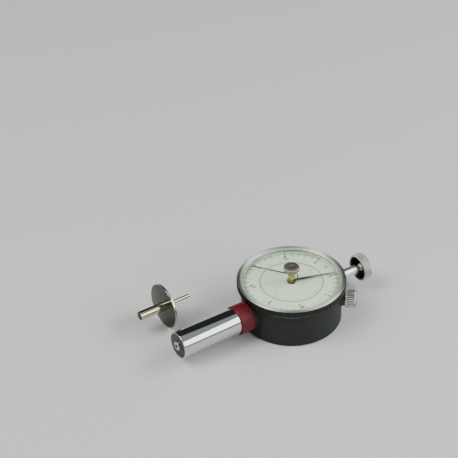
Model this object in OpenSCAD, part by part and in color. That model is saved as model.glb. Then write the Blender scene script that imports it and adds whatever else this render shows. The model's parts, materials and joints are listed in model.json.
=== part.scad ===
// Dial penetrometer for testing how firm fruit is, with its probe tip taken off.
// The origin is the middle of the case back. X runs from the barrel to the cap, Z out of the dial.

/* [Case] */
// Outside diameter of the round case
case_d = 54; // [48:0.5:64]
// Thickness of the case wall
case_wall = 2.2; // [1.9:0.1:2.8]
// Height of the collar's underside above the back face
under_collar = 4.35; // [4.2:0.05:6]
// Thickness of the back cover
cover_t = 1.8; // [1.4:0.1:2]
// How far the barrel boss stands out of the case
boss_proud = 1.5; // [1:0.1:4]
// Pitch radius of the back screws, taken inwards from the case's inner wall
back_screw_inset = 1.55; // [1.5:0.05:1.8]

/* [Bezel and crystal] */
// How far the bezel overhangs the case wall
bezel_overhang = 2.3; // [1.6:0.05:4]
// Height of the bezel
bezel_h = 4; // [3.9:0.1:5]
// Width of the lip that holds the crystal
lip_w = 1.45; // [1.2:0.05:2]
// Number of serrations round the bezel
bezel_teeth = 150; // [60:2:180]
// Thickness of the crystal
crystal_t = 0.9; // [0.6:0.1:1.1]
// Height of the crystal's crown above the bezel
crystal_rise = 3.75; // [3.5:0.05:6]
// Thickness of the dial plate
dial_t = 0.5; // [0.4:0.05:0.6]

/* [Barrel and collar] */
// Outside diameter of the barrel
barrel_d = 14.5; // [14:0.1:15.4]
// Length of the barrel in front of the case boss
barrel_len = 43.5; // [36:0.5:60]
// Wall of the barrel
barrel_wall = 1.35; // [1:0.05:1.6]
// Outside diameter of the collar and of the boss behind it
collar_d = 16; // [15:0.1:19]
// Wall of the collar, which sits in a turned seat on the barrel
collar_wall = 1; // [0.7:0.05:1.2]
// Length of the collar
collar_len = 8; // [5:0.1:14]

/* [Plunger] */
// Diameter of the plunger rod
rod_d = 5; // [4.4:0.1:5.4]
// Travel of the plunger
stroke = 10; // [7:0.5:10]
// How far the rod's nose stands out of the barrel
nose_proud = 1; // [0.5:0.1:3]
// Diameter of the tail rod
tail_d = 2; // [1.8:0.1:2.6]
// Wire diameter of the weighing spring
wire_d = 1.25; // [0.9:0.05:1.5]
// Turns of the weighing spring
spring_turns = 12; // [8:1:14]

/* [Stem and cap] */
// Diameter of the stem
stem_d = 5.2; // [4.8:0.1:8]
// Length of the stem outside the case
stem_len = 16; // [10:0.5:30]
// Diameter of the knurled cap
cap_d = 15; // [13:0.1:18]
// Thickness of the knurled cap
cap_t = 4.8; // [4.4:0.1:8]
// Depth of the recess in the cap
cap_recess = 3.4; // [2.5:0.1:3.6]
// Knurl ridges round the cap
cap_teeth = 42; // [30:1:60]

/* [Movement] */
// Teeth on the pointer's pinion
pinion_teeth = 10; // [9:1:12]
// Tooth module of rack and pinion
tooth_module = 0.35; // [0.3:0.01:0.38]
// Pressure angle of the teeth
pressure_angle = 25; // [22:1:27]
// Height of the rack frame
rack_h = 4.8; // [4:0.1:5.2]
// Turns of the hairspring
hair_turns = 5; // [3:1:6]

/* [Hands and knobs] */
// Driving hand, degrees clockwise from the stem
main_angle = 17.8; // [0:0.1:360]
// Drag hand, degrees clockwise from the stem
drag_angle = 242; // [60:0.1:330]
// Diameter of the reset knob
knob_d = 8.7; // [7:0.1:12]
// Height of the reset knob
knob_h = 3.6; // [3.2:0.1:6]
// Place of the lock screw, degrees clockwise from the stem
lock_angle = 38; // [30:0.5:48]
// Diameter of the lock screw's head
lock_d = 9.8; // [8:0.1:12]
// Length of the lock screw's head
lock_len = 5.9; // [4:0.1:8]
// Knurl ridges round the lock screw
lock_teeth = 30; // [20:1:40]
// Knurl ridges round the reset knob
knob_teeth = 40; // [24:1:60]

/* [Probe tip] */
// Diameter of the probe
probe_d = 5; // [3.5:0.1:8]
// Length of the probe in front of its disc
probe_len = 15.4; // [8:0.1:20]
// Diameter of the juice disc
disc_d = 25; // [18:0.5:32]
// Thickness of the juice disc
disc_t = 1.1; // [0.8:0.1:2]
// Diameter of the probe's pin
pin_d = 2; // [1.5:0.1:2.6]
// Length of the probe's pin
pin_len = 15.3; // [8:0.1:20]
// Place of the loose tip's disc along the barrel
tip_x = -61; // [-80:0.5:-40]
// Place of the loose tip's disc beside the barrel
tip_y = 31.9; // [28:0.1:60]

/* [Hidden] */
$fn = 96;

// Clearances
seat_gap = 0.02;   // fixed piece in its hole
run_gap = 0.05;    // shaft or ring that turns or slides in its bearing
free_gap = 0.3;    // moving piece beside a fixed one
cut = 0.1;         // overshoot of every cut

// Heights of the case and of the stack in the bezel
case_r = case_d / 2;
cavity_r = case_r - case_wall;
collar_r = collar_d / 2;
axis_z = under_collar + collar_r;
over_collar = 0.1;
case_h = axis_z + collar_r + over_collar;
bezel_gap = 0.25;
bezel_z = case_h + bezel_gap;
bezel_top = bezel_z + bezel_h;
bezel_r = case_r + bezel_overhang;
bezel_edge = 0.4;
bezel_rim = 0.3;
bezel_tooth = 0.3;
ring_room = 0.1;
neck_step = 0.4;
neck_wall = 0.9;
neck_r = case_r - neck_step;
neck_in = neck_r - neck_wall;
pocket_r = neck_r + run_gap;
stack_r = pocket_r - seat_gap;
lip_t = 0.7;
lip_r = pocket_r - lip_w;
lip_slope = 2;
lip_edge = 0.15;
lip_z = bezel_top - lip_t;
flange_t = 0.8;
spacer_t = 0.8;
spacer_w = 0.5;
flange_z = lip_z - flange_t;
dial_z = flange_z - spacer_t;
plate_z = dial_z - dial_t;
neck_top = plate_z - free_gap;
ring_t = 0.3;
ring_z = (case_h + neck_top) / 2;
ring_bite = 0.35;
carrier_h = 1.7;
carrier_w = 2;
carrier_r = neck_in - run_gap;
carrier_in = carrier_r - carrier_w;
carrier_z = plate_z - carrier_h;
carrier_room = 0.5;

// Crystal
shoulder_gap = 0.1;
shoulder_r = lip_r - shoulder_gap;
shoulder_wall = 0.7;
window_r = shoulder_r - shoulder_wall;
shoulder_h = 0.65;
crown_z = bezel_top + crystal_rise;
crown_drop = crystal_rise - shoulder_h;
crown_r = (shoulder_r * shoulder_r + crown_drop * crown_drop) / (2 * crown_drop);
inner_crown_z = crown_z - crystal_t;
crystal_hole_r = 2;

// Ledge and movement frame
ledge_t = 2;
ledge_w = 3;
ledge_z = cover_t + ledge_t;
base_t = 1.2;
base_z = ledge_z + base_t;
base_inset = 1.3;
base_r = cavity_r - base_inset;
base_room = 0.6;
base_gap = 1.5;
cover_gap = 0.1;
rack_top = axis_z + rack_h / 2;
hair_room = 2.05;
bridge_z = rack_top + hair_room;
bridge_t = 1.2;
bridge_w = 20;
bridge_d = 26.4;
bridge_round = 3;
pillar_x = 7.5;
pillar_y = 10.6;
pillar_r = 1.6;
tenon_r = 1;
tenon_short = 0.1;
bearing_r = 2;
bearing_t = 1.5;
bearing_inset = 0.1;

// Screws: shank and head
screw_r = 0.8;
head_r = 1.4;
head_t = 0.8;
back_sink = 0.1;
small_r = 0.4;
small_head_r = 0.75;
small_head_t = 0.6;
dial_skin = 0.15;
slot_w = 0.4;
slot_t = 0.35;
screw_bite = 1.3;
screw_room = 0.2;
screw_hole = screw_bite + screw_room;
back_screw_ring = cavity_r - back_screw_inset;
plate_screw_inset = 2;
plate_screw_ring = cavity_r - plate_screw_inset;

// Barrel along the plunger's axis
boss_x = case_r + boss_proud;
barrel_r = barrel_d / 2;
barrel_in = barrel_r - barrel_wall;
barrel_end = -boss_x - barrel_len;
end_wall = 1.8;
nose_wall = 1.1;
end_hole_r = rod_d / 2 + nose_wall;
spigot_step = 1.05;
spigot_r = barrel_r - spigot_step;
spigot_wall = 1;
spigot_in = spigot_r - spigot_wall;
collar_seat_r = collar_r - collar_wall - seat_gap;
collar_x = -boss_x - collar_len;
boss_len = 6.5;
nut_t = 1.5;
nut_ring = 1.6;
nut_slot_w = 1.6;
nut_slot_t = 0.6;
boss_in = -boss_x + boss_len;
spigot_end = boss_in + nut_t;
seat_sink = 0.5;
seat_x = -boss_x + seat_sink;
seat_t = 1.2;
rear_bush_short = 0.5;
chamfer = 0.4;

// Plunger
rod_r = rod_d / 2;
rod_bore = rod_r + run_gap;
bush_flange = 1.6;
stop_gap = 0.2;
clip_t = 0.6;
clip_bite = 0.45;
clip_ring = 0.9;
clip_x = barrel_end + end_wall + bush_flange + stop_gap;
stop_x = clip_x + clip_t;
stop_t = 2;
nose_x = barrel_end - nose_proud;
frame_gap = 1;
frame_x = spigot_end + frame_gap;
rod_tenon_r = 1.5;
rod_tenon = 4.7;
tail_tenon = 4.9;
end_gap = 0.1;
tail_r = tail_d / 2;
tail_bore = tail_r + run_gap;

// Teeth: the rack lies on the +Y side, so the pointer turns clockwise as the plunger goes in
pitch_r = pinion_teeth * tooth_module / 2;
base_circle = pitch_r * cos(pressure_angle);
pinion_add = 0.9 * tooth_module;
rack_add = 0.8 * tooth_module;
root_gap = 0.15 * tooth_module;
pinion_tip = pitch_r + pinion_add;
pinion_root = pitch_r - rack_add - root_gap;
rack_tip = pitch_r - rack_add;
rack_root = pitch_r + pinion_add + root_gap;
tooth_pitch = PI * tooth_module;
tooth_play = 0.08;
flank_steps = 4;
pinion_side = 0.4;
pinion_h = rack_h - 2 * pinion_side;
window_gap = 1.2;
window_x0 = -stroke - pinion_tip - window_gap;
window_x1 = pinion_tip + window_gap;
frame_bar = 3;
frame_y1 = rack_root + frame_bar;
frame_side = 0.5;
frame_y0 = -rod_r - frame_side;
frame_block = 6.1;
frame_end = window_x1 + frame_block;
guide_r = 0.8;
guide_play = 0.1;
guide_foot = 0.3;
guide_short = 0.2;
guide_inset = 2;
guide_x = window_x1 + frame_block / 2;
guide_y = frame_y1 - guide_inset;

// Pointer arbor and hands
arbor_r = 0.75;
arbor_bore = arbor_r + run_gap;
pivot_len = 0.8;
arbor_z = base_z - pivot_len;
boss_r = 1.85;
hand_t = 0.2;
hand_lift = 0.95;
hand_z = dial_z + hand_lift;
hand_gap = 0.4;
hand_len = window_r - hand_gap;
hand_eye = 2.4;
hand_root = 1.5;
drag_root = 1.2;
hand_point = 0.4;
boss_lift = 0.35;
boss_z = dial_z + boss_lift;
boss_h = 1.6;
arbor_short = 0.15;
arbor_top = boss_z + boss_h - arbor_short;
collet_r = 1.6;
collet_side = 0.2;
hair_h = 0.7;
hair_lift = 0.65;
hair_z = rack_top + hair_lift;
hair_t = 0.2;
hair_gap = 0.15;
hair_in = collet_r + hair_gap;
hair_out = 6.6;
stud_r = 0.5;
stud_drop = 0.2;

// Reset knob and drag hand
bush_proud = 0.15;
bush_z = inner_crown_z - bush_proud;
eye_gap = 0.2;
eye_z = bush_z - eye_gap - hand_t;
hub_h = 2;
hub_z = eye_z - hub_h;
shaft_r = 1;
bush_head_t = 0.5;
bush_top = crown_z + bush_head_t;
knob_gap = 0.15;
knob_z = bush_top + knob_gap;
knob_top = knob_z + knob_h;
knob_r = knob_d / 2;
knob_cone = 1.7;
knob_foot_r = 3;
knob_sink = 0.7;
knob_web = 0.5;
knob_screw_r = 0.5;
knob_head_gap = 0.1;
knob_head_sink = 0.2;
shaft_top = knob_top - knob_sink - knob_web;
kink_len = 4.5;
kink_r = hand_len - kink_len;
kink_drop = 1.95;
tip_drop = 3.1;
drive_at = 3.4;
drive_r = 0.35;
drive_gap = 0.5;
drive_top = eye_z - drive_gap;

// Stem and cap
stem_r = stem_d / 2;
stem_end = case_r + stem_len;
stem_flat = case_r - neck_step;
stem_flange_w = 1.2;
stem_flange_r = stem_r + stem_flange_w;
stem_flange_t = 1.2;
stem_boss = 3.2;
stem_boss_wall = 2.5;
stem_boss_r = stem_r + stem_boss_wall;
stem_boss_x = stem_flat - stem_boss;
stem_nut_t = 1.8;
stem_nut_w = 2;
stem_proud = 0.2;
stem_in = stem_boss_x - stem_nut_t - stem_proud;
cap_gap = 0.8;
cap_x = stem_end + cap_gap;
cap_r = cap_d / 2;
cap_wall = 1.5;
cap_hub_wall = 1;
cap_hub_r = tail_r + cap_hub_wall;
cap_hub = 1.6;
cap_skin = 0.35;
knurl = 0.3;

// Lock screw, measured outwards from the dial axis
lock_flat = case_r - neck_step;
lock_bush_r = 2.6;
lock_flange_r = 3.8;
lock_flange = 2.2;
lock_shank_r = 1.2;
dog_t = 2.4;
dog_w = 5;
dog_gap = 0.4;
dog_out = carrier_in - dog_gap;
dog_under = 2.85;
dog_top = plate_z - free_gap;
lock_gap = 0.2;
lock_bush_in = dog_out + lock_gap;
lock_head = lock_flat + lock_flange + lock_gap;
lock_disc = 0.9;
lock_disc_step = 0.2;
lock_groove = 0.8;
lock_groove_w = 0.3;
lock_disc_r = lock_d / 2 - lock_disc_step;
lock_taper = 1;
shank_proud = 0.4;
lock_shank_in = dog_out - dog_t - shank_proud;

// Loose tip, standing on the rim of its disc
disc_r = disc_d / 2;
probe_r = probe_d / 2;
pin_r = pin_d / 2;
socket_r = pin_r + run_gap;
socket_room = 0.5;
socket_depth = pin_len + socket_room;
disc_shoulder = 0.6;
disc_hole_r = pin_r + disc_shoulder;
dome_r = 6;

// Cylinder along the plunger's axis from x0 to x1
module bar_x(x0, x1, r) {
    translate([x0, 0, axis_z]) rotate([0, 90, 0]) cylinder(h = x1 - x0, r = r);
}

// Tube along the plunger's axis
module tube_x(x0, x1, r_out, r_in) {
    difference() {
        bar_x(x0, x1, r_out);
        bar_x(x0 - cut, x1 + cut, r_in);
    }
}

// Profile of radius and x, turned round the plunger's axis
module turn_x(profile) {
    translate([0, 0, axis_z]) rotate([0, 90, 0]) rotate_extrude() polygon(profile);
}

// Upright ring
module ring_z_axis(z, h, r_out, r_in) {
    translate([0, 0, z]) difference() {
        cylinder(h = h, r = r_out);
        translate([0, 0, -cut]) cylinder(h = h + 2 * cut, r = r_in);
    }
}

// Places children on the lock screw's axis, with their z pointing out of the case
module at_lock() {
    rotate([0, 0, -lock_angle]) translate([0, 0, axis_z]) rotate([0, 90, 0]) children();
}

// Outline of straight knurling
function knurl_points(count, r, depth) = [
    for (i = [0 : 2 * count - 1])
        let (a = i * 180 / count, rr = r - (i % 2) * depth)
        [rr * cos(a), rr * sin(a)]
];

module knurled(h, count, r, depth) {
    linear_extrude(h) polygon(knurl_points(count, r, depth));
}

// Cheese-head screw, head down from z = 0, shank upwards
module screw(shank_len, r, h_r, h_t) {
    difference() {
        union() {
            translate([0, 0, -h_t]) cylinder(h = h_t, r = h_r);
            translate([0, 0, -cut]) cylinder(h = shank_len + cut, r = r);
        }
        translate([-h_r - cut, -slot_w / 2, -h_t - cut]) cube([2 * h_r + 2 * cut, slot_w, slot_t + cut]);
    }
}

// Copies children round the dial axis
module around(count, r, start) {
    for (i = [0 : count - 1]) rotate([0, 0, start + i * 360 / count]) translate([r, 0, 0]) children();
}

module at_pillars() {
    for (sx = [-1, 1], sy = [-1, 1]) translate([sx * pillar_x, sy * pillar_y, 0]) children();
}

module case_wall_form() {
    foot = 0.8;
    rotate_extrude() polygon([
        [cavity_r, 0], [case_r - foot, 0], [case_r, foot], [case_r, case_h], [neck_r, case_h],
        [neck_r, neck_top], [neck_in, neck_top], [neck_in, carrier_z - carrier_room],
        [cavity_r, carrier_z - carrier_room], [cavity_r, ledge_z], [cavity_r - ledge_w, ledge_z],
        [cavity_r - ledge_w, cover_t], [cavity_r, cover_t]
    ]);
}

module case_shell() {
    color([0.13, 0.15, 0.15]) difference() {
        union() {
            case_wall_form();
            difference() {
                bar_x(-boss_x, boss_in, collar_r);
                cylinder_hole(neck_in, carrier_z - carrier_room);
            }
            bar_x(stem_boss_x, cavity_r + cut, stem_boss_r);
        }
        bar_x(-boss_x - cut, boss_in + cut, spigot_r + seat_gap);
        bar_x(stem_boss_x - cut, case_r + cut, stem_r + seat_gap);
        bar_x(stem_flat, case_r + cut, stem_flange_r + free_gap);
        at_lock() cylinder(h = case_r + cut, r = lock_bush_r + seat_gap);
        at_lock() translate([0, 0, lock_flat]) cylinder(h = case_r, r = lock_flange_r + free_gap);
        around(4, back_screw_ring, 45) translate([0, 0, cover_t - cut])
            cylinder(h = screw_hole + cut, r = screw_r + seat_gap);
        around(3, plate_screw_ring, 90) translate([0, 0, ledge_z - screw_hole])
            cylinder(h = screw_hole + cut, r = screw_r + seat_gap);
        ring_z_axis(ring_z - ring_t / 2 - run_gap, ring_t + 2 * run_gap, neck_r + cut, neck_r - ring_bite);
    }
}

// Round hole from z upwards
module cylinder_hole(r, z) {
    translate([0, 0, z]) cylinder(h = case_h, r = r);
}

module back_cover() {
    color([0.16, 0.18, 0.18]) difference() {
        cylinder(h = cover_t, r = cavity_r - cover_gap);
        around(4, back_screw_ring, 45) translate([0, 0, -cut]) {
            cylinder(h = cover_t + 2 * cut, r = screw_r + seat_gap);
            cylinder(h = head_t + cut + seat_gap, r = head_r + seat_gap);
        }
    }
}

module back_screws() {
    color([0.75, 0.75, 0.73]) around(4, back_screw_ring, 45) translate([0, 0, head_t + seat_gap])
        screw(cover_t - head_t + screw_bite, screw_r, head_r, head_t - back_sink);
}

module barrel() {
    color([0.88, 0.89, 0.9]) turn_x([
        [end_hole_r, barrel_end], [barrel_r - chamfer, barrel_end], [barrel_r, barrel_end + chamfer],
        [barrel_r, collar_x], [collar_seat_r, collar_x], [collar_seat_r, -boss_x], [spigot_r, -boss_x],
        [spigot_r, spigot_end], [spigot_in, spigot_end],
        [spigot_in, seat_x], [barrel_in, seat_x], [barrel_in, barrel_end + end_wall],
        [end_hole_r, barrel_end + end_wall]
    ]);
}

module nose_bush() {
    color([0.8, 0.8, 0.78]) turn_x([
        [rod_bore, barrel_end], [end_hole_r - seat_gap, barrel_end],
        [end_hole_r - seat_gap, barrel_end + end_wall], [barrel_in - seat_gap, barrel_end + end_wall],
        [barrel_in - seat_gap, barrel_end + end_wall + bush_flange],
        [rod_bore, barrel_end + end_wall + bush_flange]
    ]);
}

module rear_bush() {
    color([0.72, 0.58, 0.3]) tube_x(seat_x, spigot_end - rear_bush_short, spigot_in - seat_gap, rod_bore);
}

module spring_seat() {
    color([0.6, 0.6, 0.6]) tube_x(seat_x - seat_t, seat_x, barrel_in - seat_gap, rod_r + free_gap);
}

module barrel_nut() {
    color([0.7, 0.7, 0.68]) difference() {
        tube_x(boss_in, spigot_end, spigot_r + nut_ring, spigot_r + seat_gap);
        for (a = [0, 90]) translate([spigot_end, 0, axis_z]) rotate([a, 0, 0])
            cube([2 * nut_slot_t, nut_slot_w, 2 * collar_d], center = true);
    }
}

module collar() {
    color([0.55, 0.06, 0.12]) tube_x(collar_x, -boss_x, collar_r, collar_r - collar_wall);
}

// Helix of the weighing spring: centre points, then a six-sided wire swept along them
coil_steps = 8;
coil_sides = 6;
coil_x0 = stop_x + stop_t + wire_d / 2 + run_gap;
coil_x1 = seat_x - seat_t - wire_d / 2 - run_gap;
coil_r = (rod_r + barrel_in) / 2;
coil_count = spring_turns * coil_steps;
coil_pitch = (coil_x1 - coil_x0) / spring_turns;
function coil_centre(i) = let (a = i * 360 / coil_steps)
    [coil_x0 + coil_pitch * i / coil_steps, coil_r * cos(a), coil_r * sin(a)];
function coil_ring(i) =
    let (
        a = i * 360 / coil_steps,
        out = [0, cos(a), sin(a)],
        run = [coil_pitch / (2 * PI), -coil_r * sin(a), coil_r * cos(a)],
        side = cross(run / norm(run), out)
    )
    [for (k = [0 : coil_sides - 1]) let (b = k * 360 / coil_sides)
        coil_centre(i) + wire_d / 2 * (cos(b) * out + sin(b) * side)];
coil_gap = min([for (i = [0 : coil_count - coil_steps], j = [coil_steps - 1, coil_steps])
    norm(coil_centre(i + j) - coil_centre(i)) - wire_d]);
echo(main_spring_least_gap = coil_gap);

module main_spring() {
    points = [for (i = [0 : coil_count]) each coil_ring(i)];
    side_faces = [for (i = [0 : coil_count - 1], k = [0 : coil_sides - 1])
        let (n = (k + 1) % coil_sides, a = i * coil_sides, b = a + coil_sides)
        each [[a + k, b + k, b + n], [a + k, b + n, a + n]]];
    last = coil_count * coil_sides;
    caps = [for (k = [1 : coil_sides - 2]) each
        [[0, k, k + 1], [last, last + k + 1, last + k]]];
    color([0.45, 0.46, 0.48]) translate([0, 0, axis_z]) polyhedron(points, concat(side_faces, caps));
}

module stem() {
    color([0.86, 0.86, 0.84]) turn_x([
        [tail_bore, stem_in], [stem_r, stem_in], [stem_r, stem_flat], [stem_flange_r, stem_flat],
        [stem_flange_r, stem_flat + stem_flange_t], [stem_r, stem_flat + stem_flange_t],
        [stem_r, stem_end - chamfer], [stem_r - chamfer, stem_end], [tail_bore, stem_end]
    ]);
}

module stem_nut() {
    color([0.7, 0.7, 0.68]) difference() {
        translate([stem_boss_x - stem_nut_t, 0, axis_z]) rotate([0, 90, 0])
            cylinder(h = stem_nut_t, r = stem_r + stem_nut_w, $fn = 6);
        bar_x(stem_in - cut, stem_boss_x + cut, stem_r + seat_gap);
    }
}

module lock_bush() {
    color([0.72, 0.58, 0.3]) at_lock() difference() {
        union() {
            translate([0, 0, lock_bush_in]) cylinder(h = lock_flat - lock_bush_in + cut, r = lock_bush_r);
            translate([0, 0, lock_flat]) cylinder(h = lock_flange, r = lock_flange_r);
        }
        cylinder(h = case_d, r = lock_shank_r + run_gap);
    }
}

module clamp_dog() {
    color([0.6, 0.6, 0.6]) difference() {
        rotate([0, 0, -lock_angle]) translate([dog_out - dog_t, -dog_w / 2, axis_z - dog_under])
            cube([dog_t, dog_w, dog_top - axis_z + dog_under]);
        at_lock() cylinder(h = case_d, r = lock_shank_r + run_gap);
    }
}

module base_plate() {
    color([0.72, 0.6, 0.34]) difference() {
        translate([0, 0, ledge_z]) cylinder(h = base_t, r = base_r);
        translate([spigot_end + base_gap - case_r, -collar_r - base_room, ledge_z - cut])
            cube([case_r, collar_d + 2 * base_room, base_t + 2 * cut]);
        translate([0, 0, ledge_z - cut]) cylinder(h = base_t + 2 * cut, r = bearing_r + seat_gap);
        at_pillars() translate([0, 0, ledge_z - cut]) cylinder(h = base_t + 2 * cut, r = tenon_r + seat_gap);
        around(3, plate_screw_ring, 90) translate([0, 0, ledge_z - cut])
            cylinder(h = base_t + 2 * cut, r = screw_r + seat_gap);
        guide_slot();
    }
}

// Slot in the base plate that the guide pin runs along
module guide_slot() {
    half = guide_r + guide_play;
    translate([guide_x, guide_y - half, ledge_z - cut]) cube([stroke, 2 * half, base_t + 2 * cut]);
    for (x = [0, stroke]) translate([guide_x + x, guide_y, ledge_z - cut])
        cylinder(h = base_t + 2 * cut, r = half);
}

module plate_screws() {
    color([0.75, 0.75, 0.73]) around(3, plate_screw_ring, 90) translate([0, 0, base_z]) mirror([0, 0, 1])
        screw(base_t + screw_bite, screw_r, head_r, head_t);
}

module pillars() {
    color([0.72, 0.6, 0.34]) at_pillars() difference() {
        union() {
            translate([0, 0, base_z]) cylinder(h = bridge_z - base_z, r = pillar_r);
            translate([0, 0, ledge_z + tenon_short]) cylinder(h = base_t, r = tenon_r);
        }
        translate([0, 0, bridge_z - screw_hole]) cylinder(h = screw_hole + cut, r = screw_r + seat_gap);
    }
}

module bridge_plate() {
    inner_w = bridge_w - 2 * bridge_round;
    inner_d = bridge_d - 2 * bridge_round;
    color([0.72, 0.6, 0.34]) translate([0, 0, bridge_z]) difference() {
        linear_extrude(bridge_t) {
            square([bridge_w, inner_d], center = true);
            square([inner_w, bridge_d], center = true);
            for (sx = [-1, 1], sy = [-1, 1]) translate([sx * inner_w / 2, sy * inner_d / 2])
                circle(r = bridge_round);
        }
        translate([0, 0, -cut]) cylinder(h = bridge_t + 2 * cut, r = bearing_r + seat_gap);
        at_pillars() translate([0, 0, -cut]) cylinder(h = bridge_t + 2 * cut, r = screw_r + seat_gap);
    }
}

module bridge_screws() {
    color([0.75, 0.75, 0.73]) at_pillars() translate([0, 0, bridge_z + bridge_t]) mirror([0, 0, 1])
        screw(bridge_t + screw_bite, screw_r, head_r, head_t);
}

module lower_bearing() {
    color([0.8, 0.65, 0.3]) ring_z_axis(ledge_z + bearing_inset, bearing_t, bearing_r, arbor_bore);
}

module upper_bearing() {
    color([0.8, 0.65, 0.3]) ring_z_axis(bridge_z - bearing_inset, bearing_t, bearing_r, arbor_bore);
}

// Flat spiral of the hairspring, ending beside its stud
hair_steps = 24;
hair_count = hair_turns * hair_steps;
hair_pitch = (hair_out - hair_in) / hair_turns;
function hair_edge(i, side) =
    let (a = i * 360 / hair_steps, r = hair_in + hair_pitch * i / hair_steps + side * hair_t / 2)
    [r * cos(a), r * sin(a)];
echo(hairspring_least_gap = hair_pitch - hair_t);

module hairspring() {
    outer = [for (i = [0 : hair_count]) hair_edge(i, 1)];
    inner = [for (i = [hair_count : -1 : 0]) hair_edge(i, -1)];
    color([0.35, 0.4, 0.6]) translate([0, 0, hair_z]) linear_extrude(hair_h) polygon(concat(outer, inner));
}

module hairspring_stud() {
    color([0.75, 0.75, 0.73]) translate([hair_out + hair_t / 2 + run_gap + stud_r, 0, hair_z - stud_drop])
        cylinder(h = bridge_z - hair_z + stud_drop, r = stud_r);
}

module bezel_ring() {
    split = 3;
    outer = neck_r + ring_bite - 2 * run_gap;
    color([0.6, 0.6, 0.6]) difference() {
        ring_z_axis(ring_z - ring_t / 2, ring_t, outer, neck_r - ring_bite + run_gap);
        translate([0, -split / 2, ring_z - ring_t]) cube([bezel_r, split, 2 * ring_t]);
    }
}

module plunger_rod() {
    groove = rod_r - clip_bite;
    color([0.82, 0.82, 0.82]) difference() {
        turn_x([
            [0, nose_x], [rod_r - chamfer, nose_x], [rod_r, nose_x + chamfer], [rod_r, clip_x - seat_gap],
            [groove, clip_x - seat_gap], [groove, stop_x + seat_gap], [rod_r, stop_x + seat_gap],
            [rod_r, frame_x], [rod_tenon_r, frame_x], [rod_tenon_r, frame_x + rod_tenon],
            [0, frame_x + rod_tenon]
        ]);
        bar_x(nose_x - cut, nose_x + socket_depth, socket_r);
    }
}

module spring_collar() {
    color([0.7, 0.7, 0.7]) tube_x(stop_x, stop_x + stop_t, barrel_in - free_gap, rod_r + seat_gap);
}

// Open ring in a groove of the rod, which the weighing spring presses the collar against
module collar_clip() {
    color([0.5, 0.5, 0.52]) difference() {
        tube_x(clip_x, clip_x + clip_t, rod_r + clip_ring, rod_r - clip_bite + seat_gap);
        translate([clip_x - cut, -rod_r / 2, axis_z]) cube([clip_t + 2 * cut, rod_r, rod_d]);
    }
}

// Rack teeth that point towards -Y, one centred on x = 0
function rack_tooth(x) =
    let (
        half = (tooth_pitch - tooth_play) / 4 - tooth_play / 8,
        root = half + (rack_root - pitch_r) * tan(pressure_angle),
        tip = half - (pitch_r - rack_tip) * tan(pressure_angle)
    )
    [[x - root, rack_root], [x - tip, rack_tip], [x + tip, rack_tip], [x + root, rack_root]];
rack_first = -floor((stroke + pinion_tip) / tooth_pitch);
rack_last = floor(pinion_tip / tooth_pitch) + 1;

module rack_frame() {
    teeth = [for (i = [rack_first : rack_last]) each rack_tooth(i * tooth_pitch)];
    outline = concat(
        [[frame_x, frame_y0], [window_x0, frame_y0], [window_x0, rack_root]],
        teeth,
        [[window_x1, rack_root], [window_x1, frame_y0], [frame_end, frame_y0], [frame_end, frame_y1],
            [frame_x, frame_y1]]
    );
    color([0.7, 0.7, 0.68]) difference() {
        translate([0, 0, axis_z - rack_h / 2]) linear_extrude(rack_h) polygon(outline);
        bar_x(frame_x - cut, frame_x + rod_tenon + end_gap, rod_tenon_r + seat_gap);
        bar_x(frame_end - tail_tenon - end_gap, frame_end + cut, tail_r + seat_gap);
        translate([guide_x, guide_y, axis_z - rack_h / 2 - cut])
            cylinder(h = rack_h / 2, r = guide_r + seat_gap);
    }
}

module guide_pin() {
    bottom = ledge_z + guide_foot;
    color([0.5, 0.5, 0.52]) translate([guide_x, guide_y, bottom])
        cylinder(h = axis_z - guide_short - bottom, r = guide_r);
}

module tail_rod() {
    color([0.82, 0.82, 0.82]) bar_x(frame_end - tail_tenon, cap_x + cap_t - cap_skin - end_gap, tail_r);
}

module lift_cap() {
    rim = 0.5;
    x1 = cap_x + cap_t;
    root = cap_r - knurl;
    color([0.86, 0.86, 0.84]) difference() {
        union() {
            turn_x([
                [0, cap_x], [root - rim, cap_x], [root, cap_x + rim], [root, x1 - rim], [root - rim, x1],
                [0, x1]
            ]);
            translate([cap_x + rim, 0, axis_z]) rotate([0, 90, 0])
                knurled(cap_t - 2 * rim, cap_teeth, cap_r, 2 * knurl);
        }
        difference() {
            bar_x(cap_x - cut, cap_x + cap_recess, cap_r - cap_wall);
            bar_x(cap_x + cap_recess - cap_hub, cap_x + cap_t, cap_hub_r);
        }
        bar_x(cap_x, x1 - cap_skin, tail_r + seat_gap);
    }
}

// Involute of the pinion's base circle, in degrees at radius r
function involute(r) = let (t = sqrt(r * r / (base_circle * base_circle) - 1)) t * 180 / PI - atan(t);
function tooth_half(r) =
    90 / pinion_teeth - tooth_play / 4 / pitch_r * 180 / PI + involute(pitch_r) - involute(r);
function polar(r, a) = [r * cos(a), r * sin(a)];
flank = [for (k = [0 : flank_steps]) base_circle + (pinion_tip - base_circle) * k / flank_steps];
function pinion_tooth(a) = concat(
    [polar(pinion_root, a - tooth_half(base_circle))],
    [for (r = flank) polar(r, a - tooth_half(r))],
    [for (k = [flank_steps : -1 : 0]) polar(flank[k], a + tooth_half(flank[k]))],
    [polar(pinion_root, a + tooth_half(base_circle))]
);

module pinion_arbor() {
    outline = [for (i = [0 : pinion_teeth - 1]) each pinion_tooth(90 + (i + 0.5) * 360 / pinion_teeth)];
    color([0.75, 0.75, 0.75]) union() {
        translate([0, 0, axis_z - pinion_h / 2]) linear_extrude(pinion_h) polygon(outline);
        translate([0, 0, arbor_z]) cylinder(h = arbor_top - arbor_z, r = arbor_r);
    }
}

module hairspring_collet() {
    color([0.8, 0.65, 0.3])
        ring_z_axis(hair_z - collet_side, hair_h + 2 * collet_side, collet_r, arbor_r + seat_gap);
}

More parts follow.
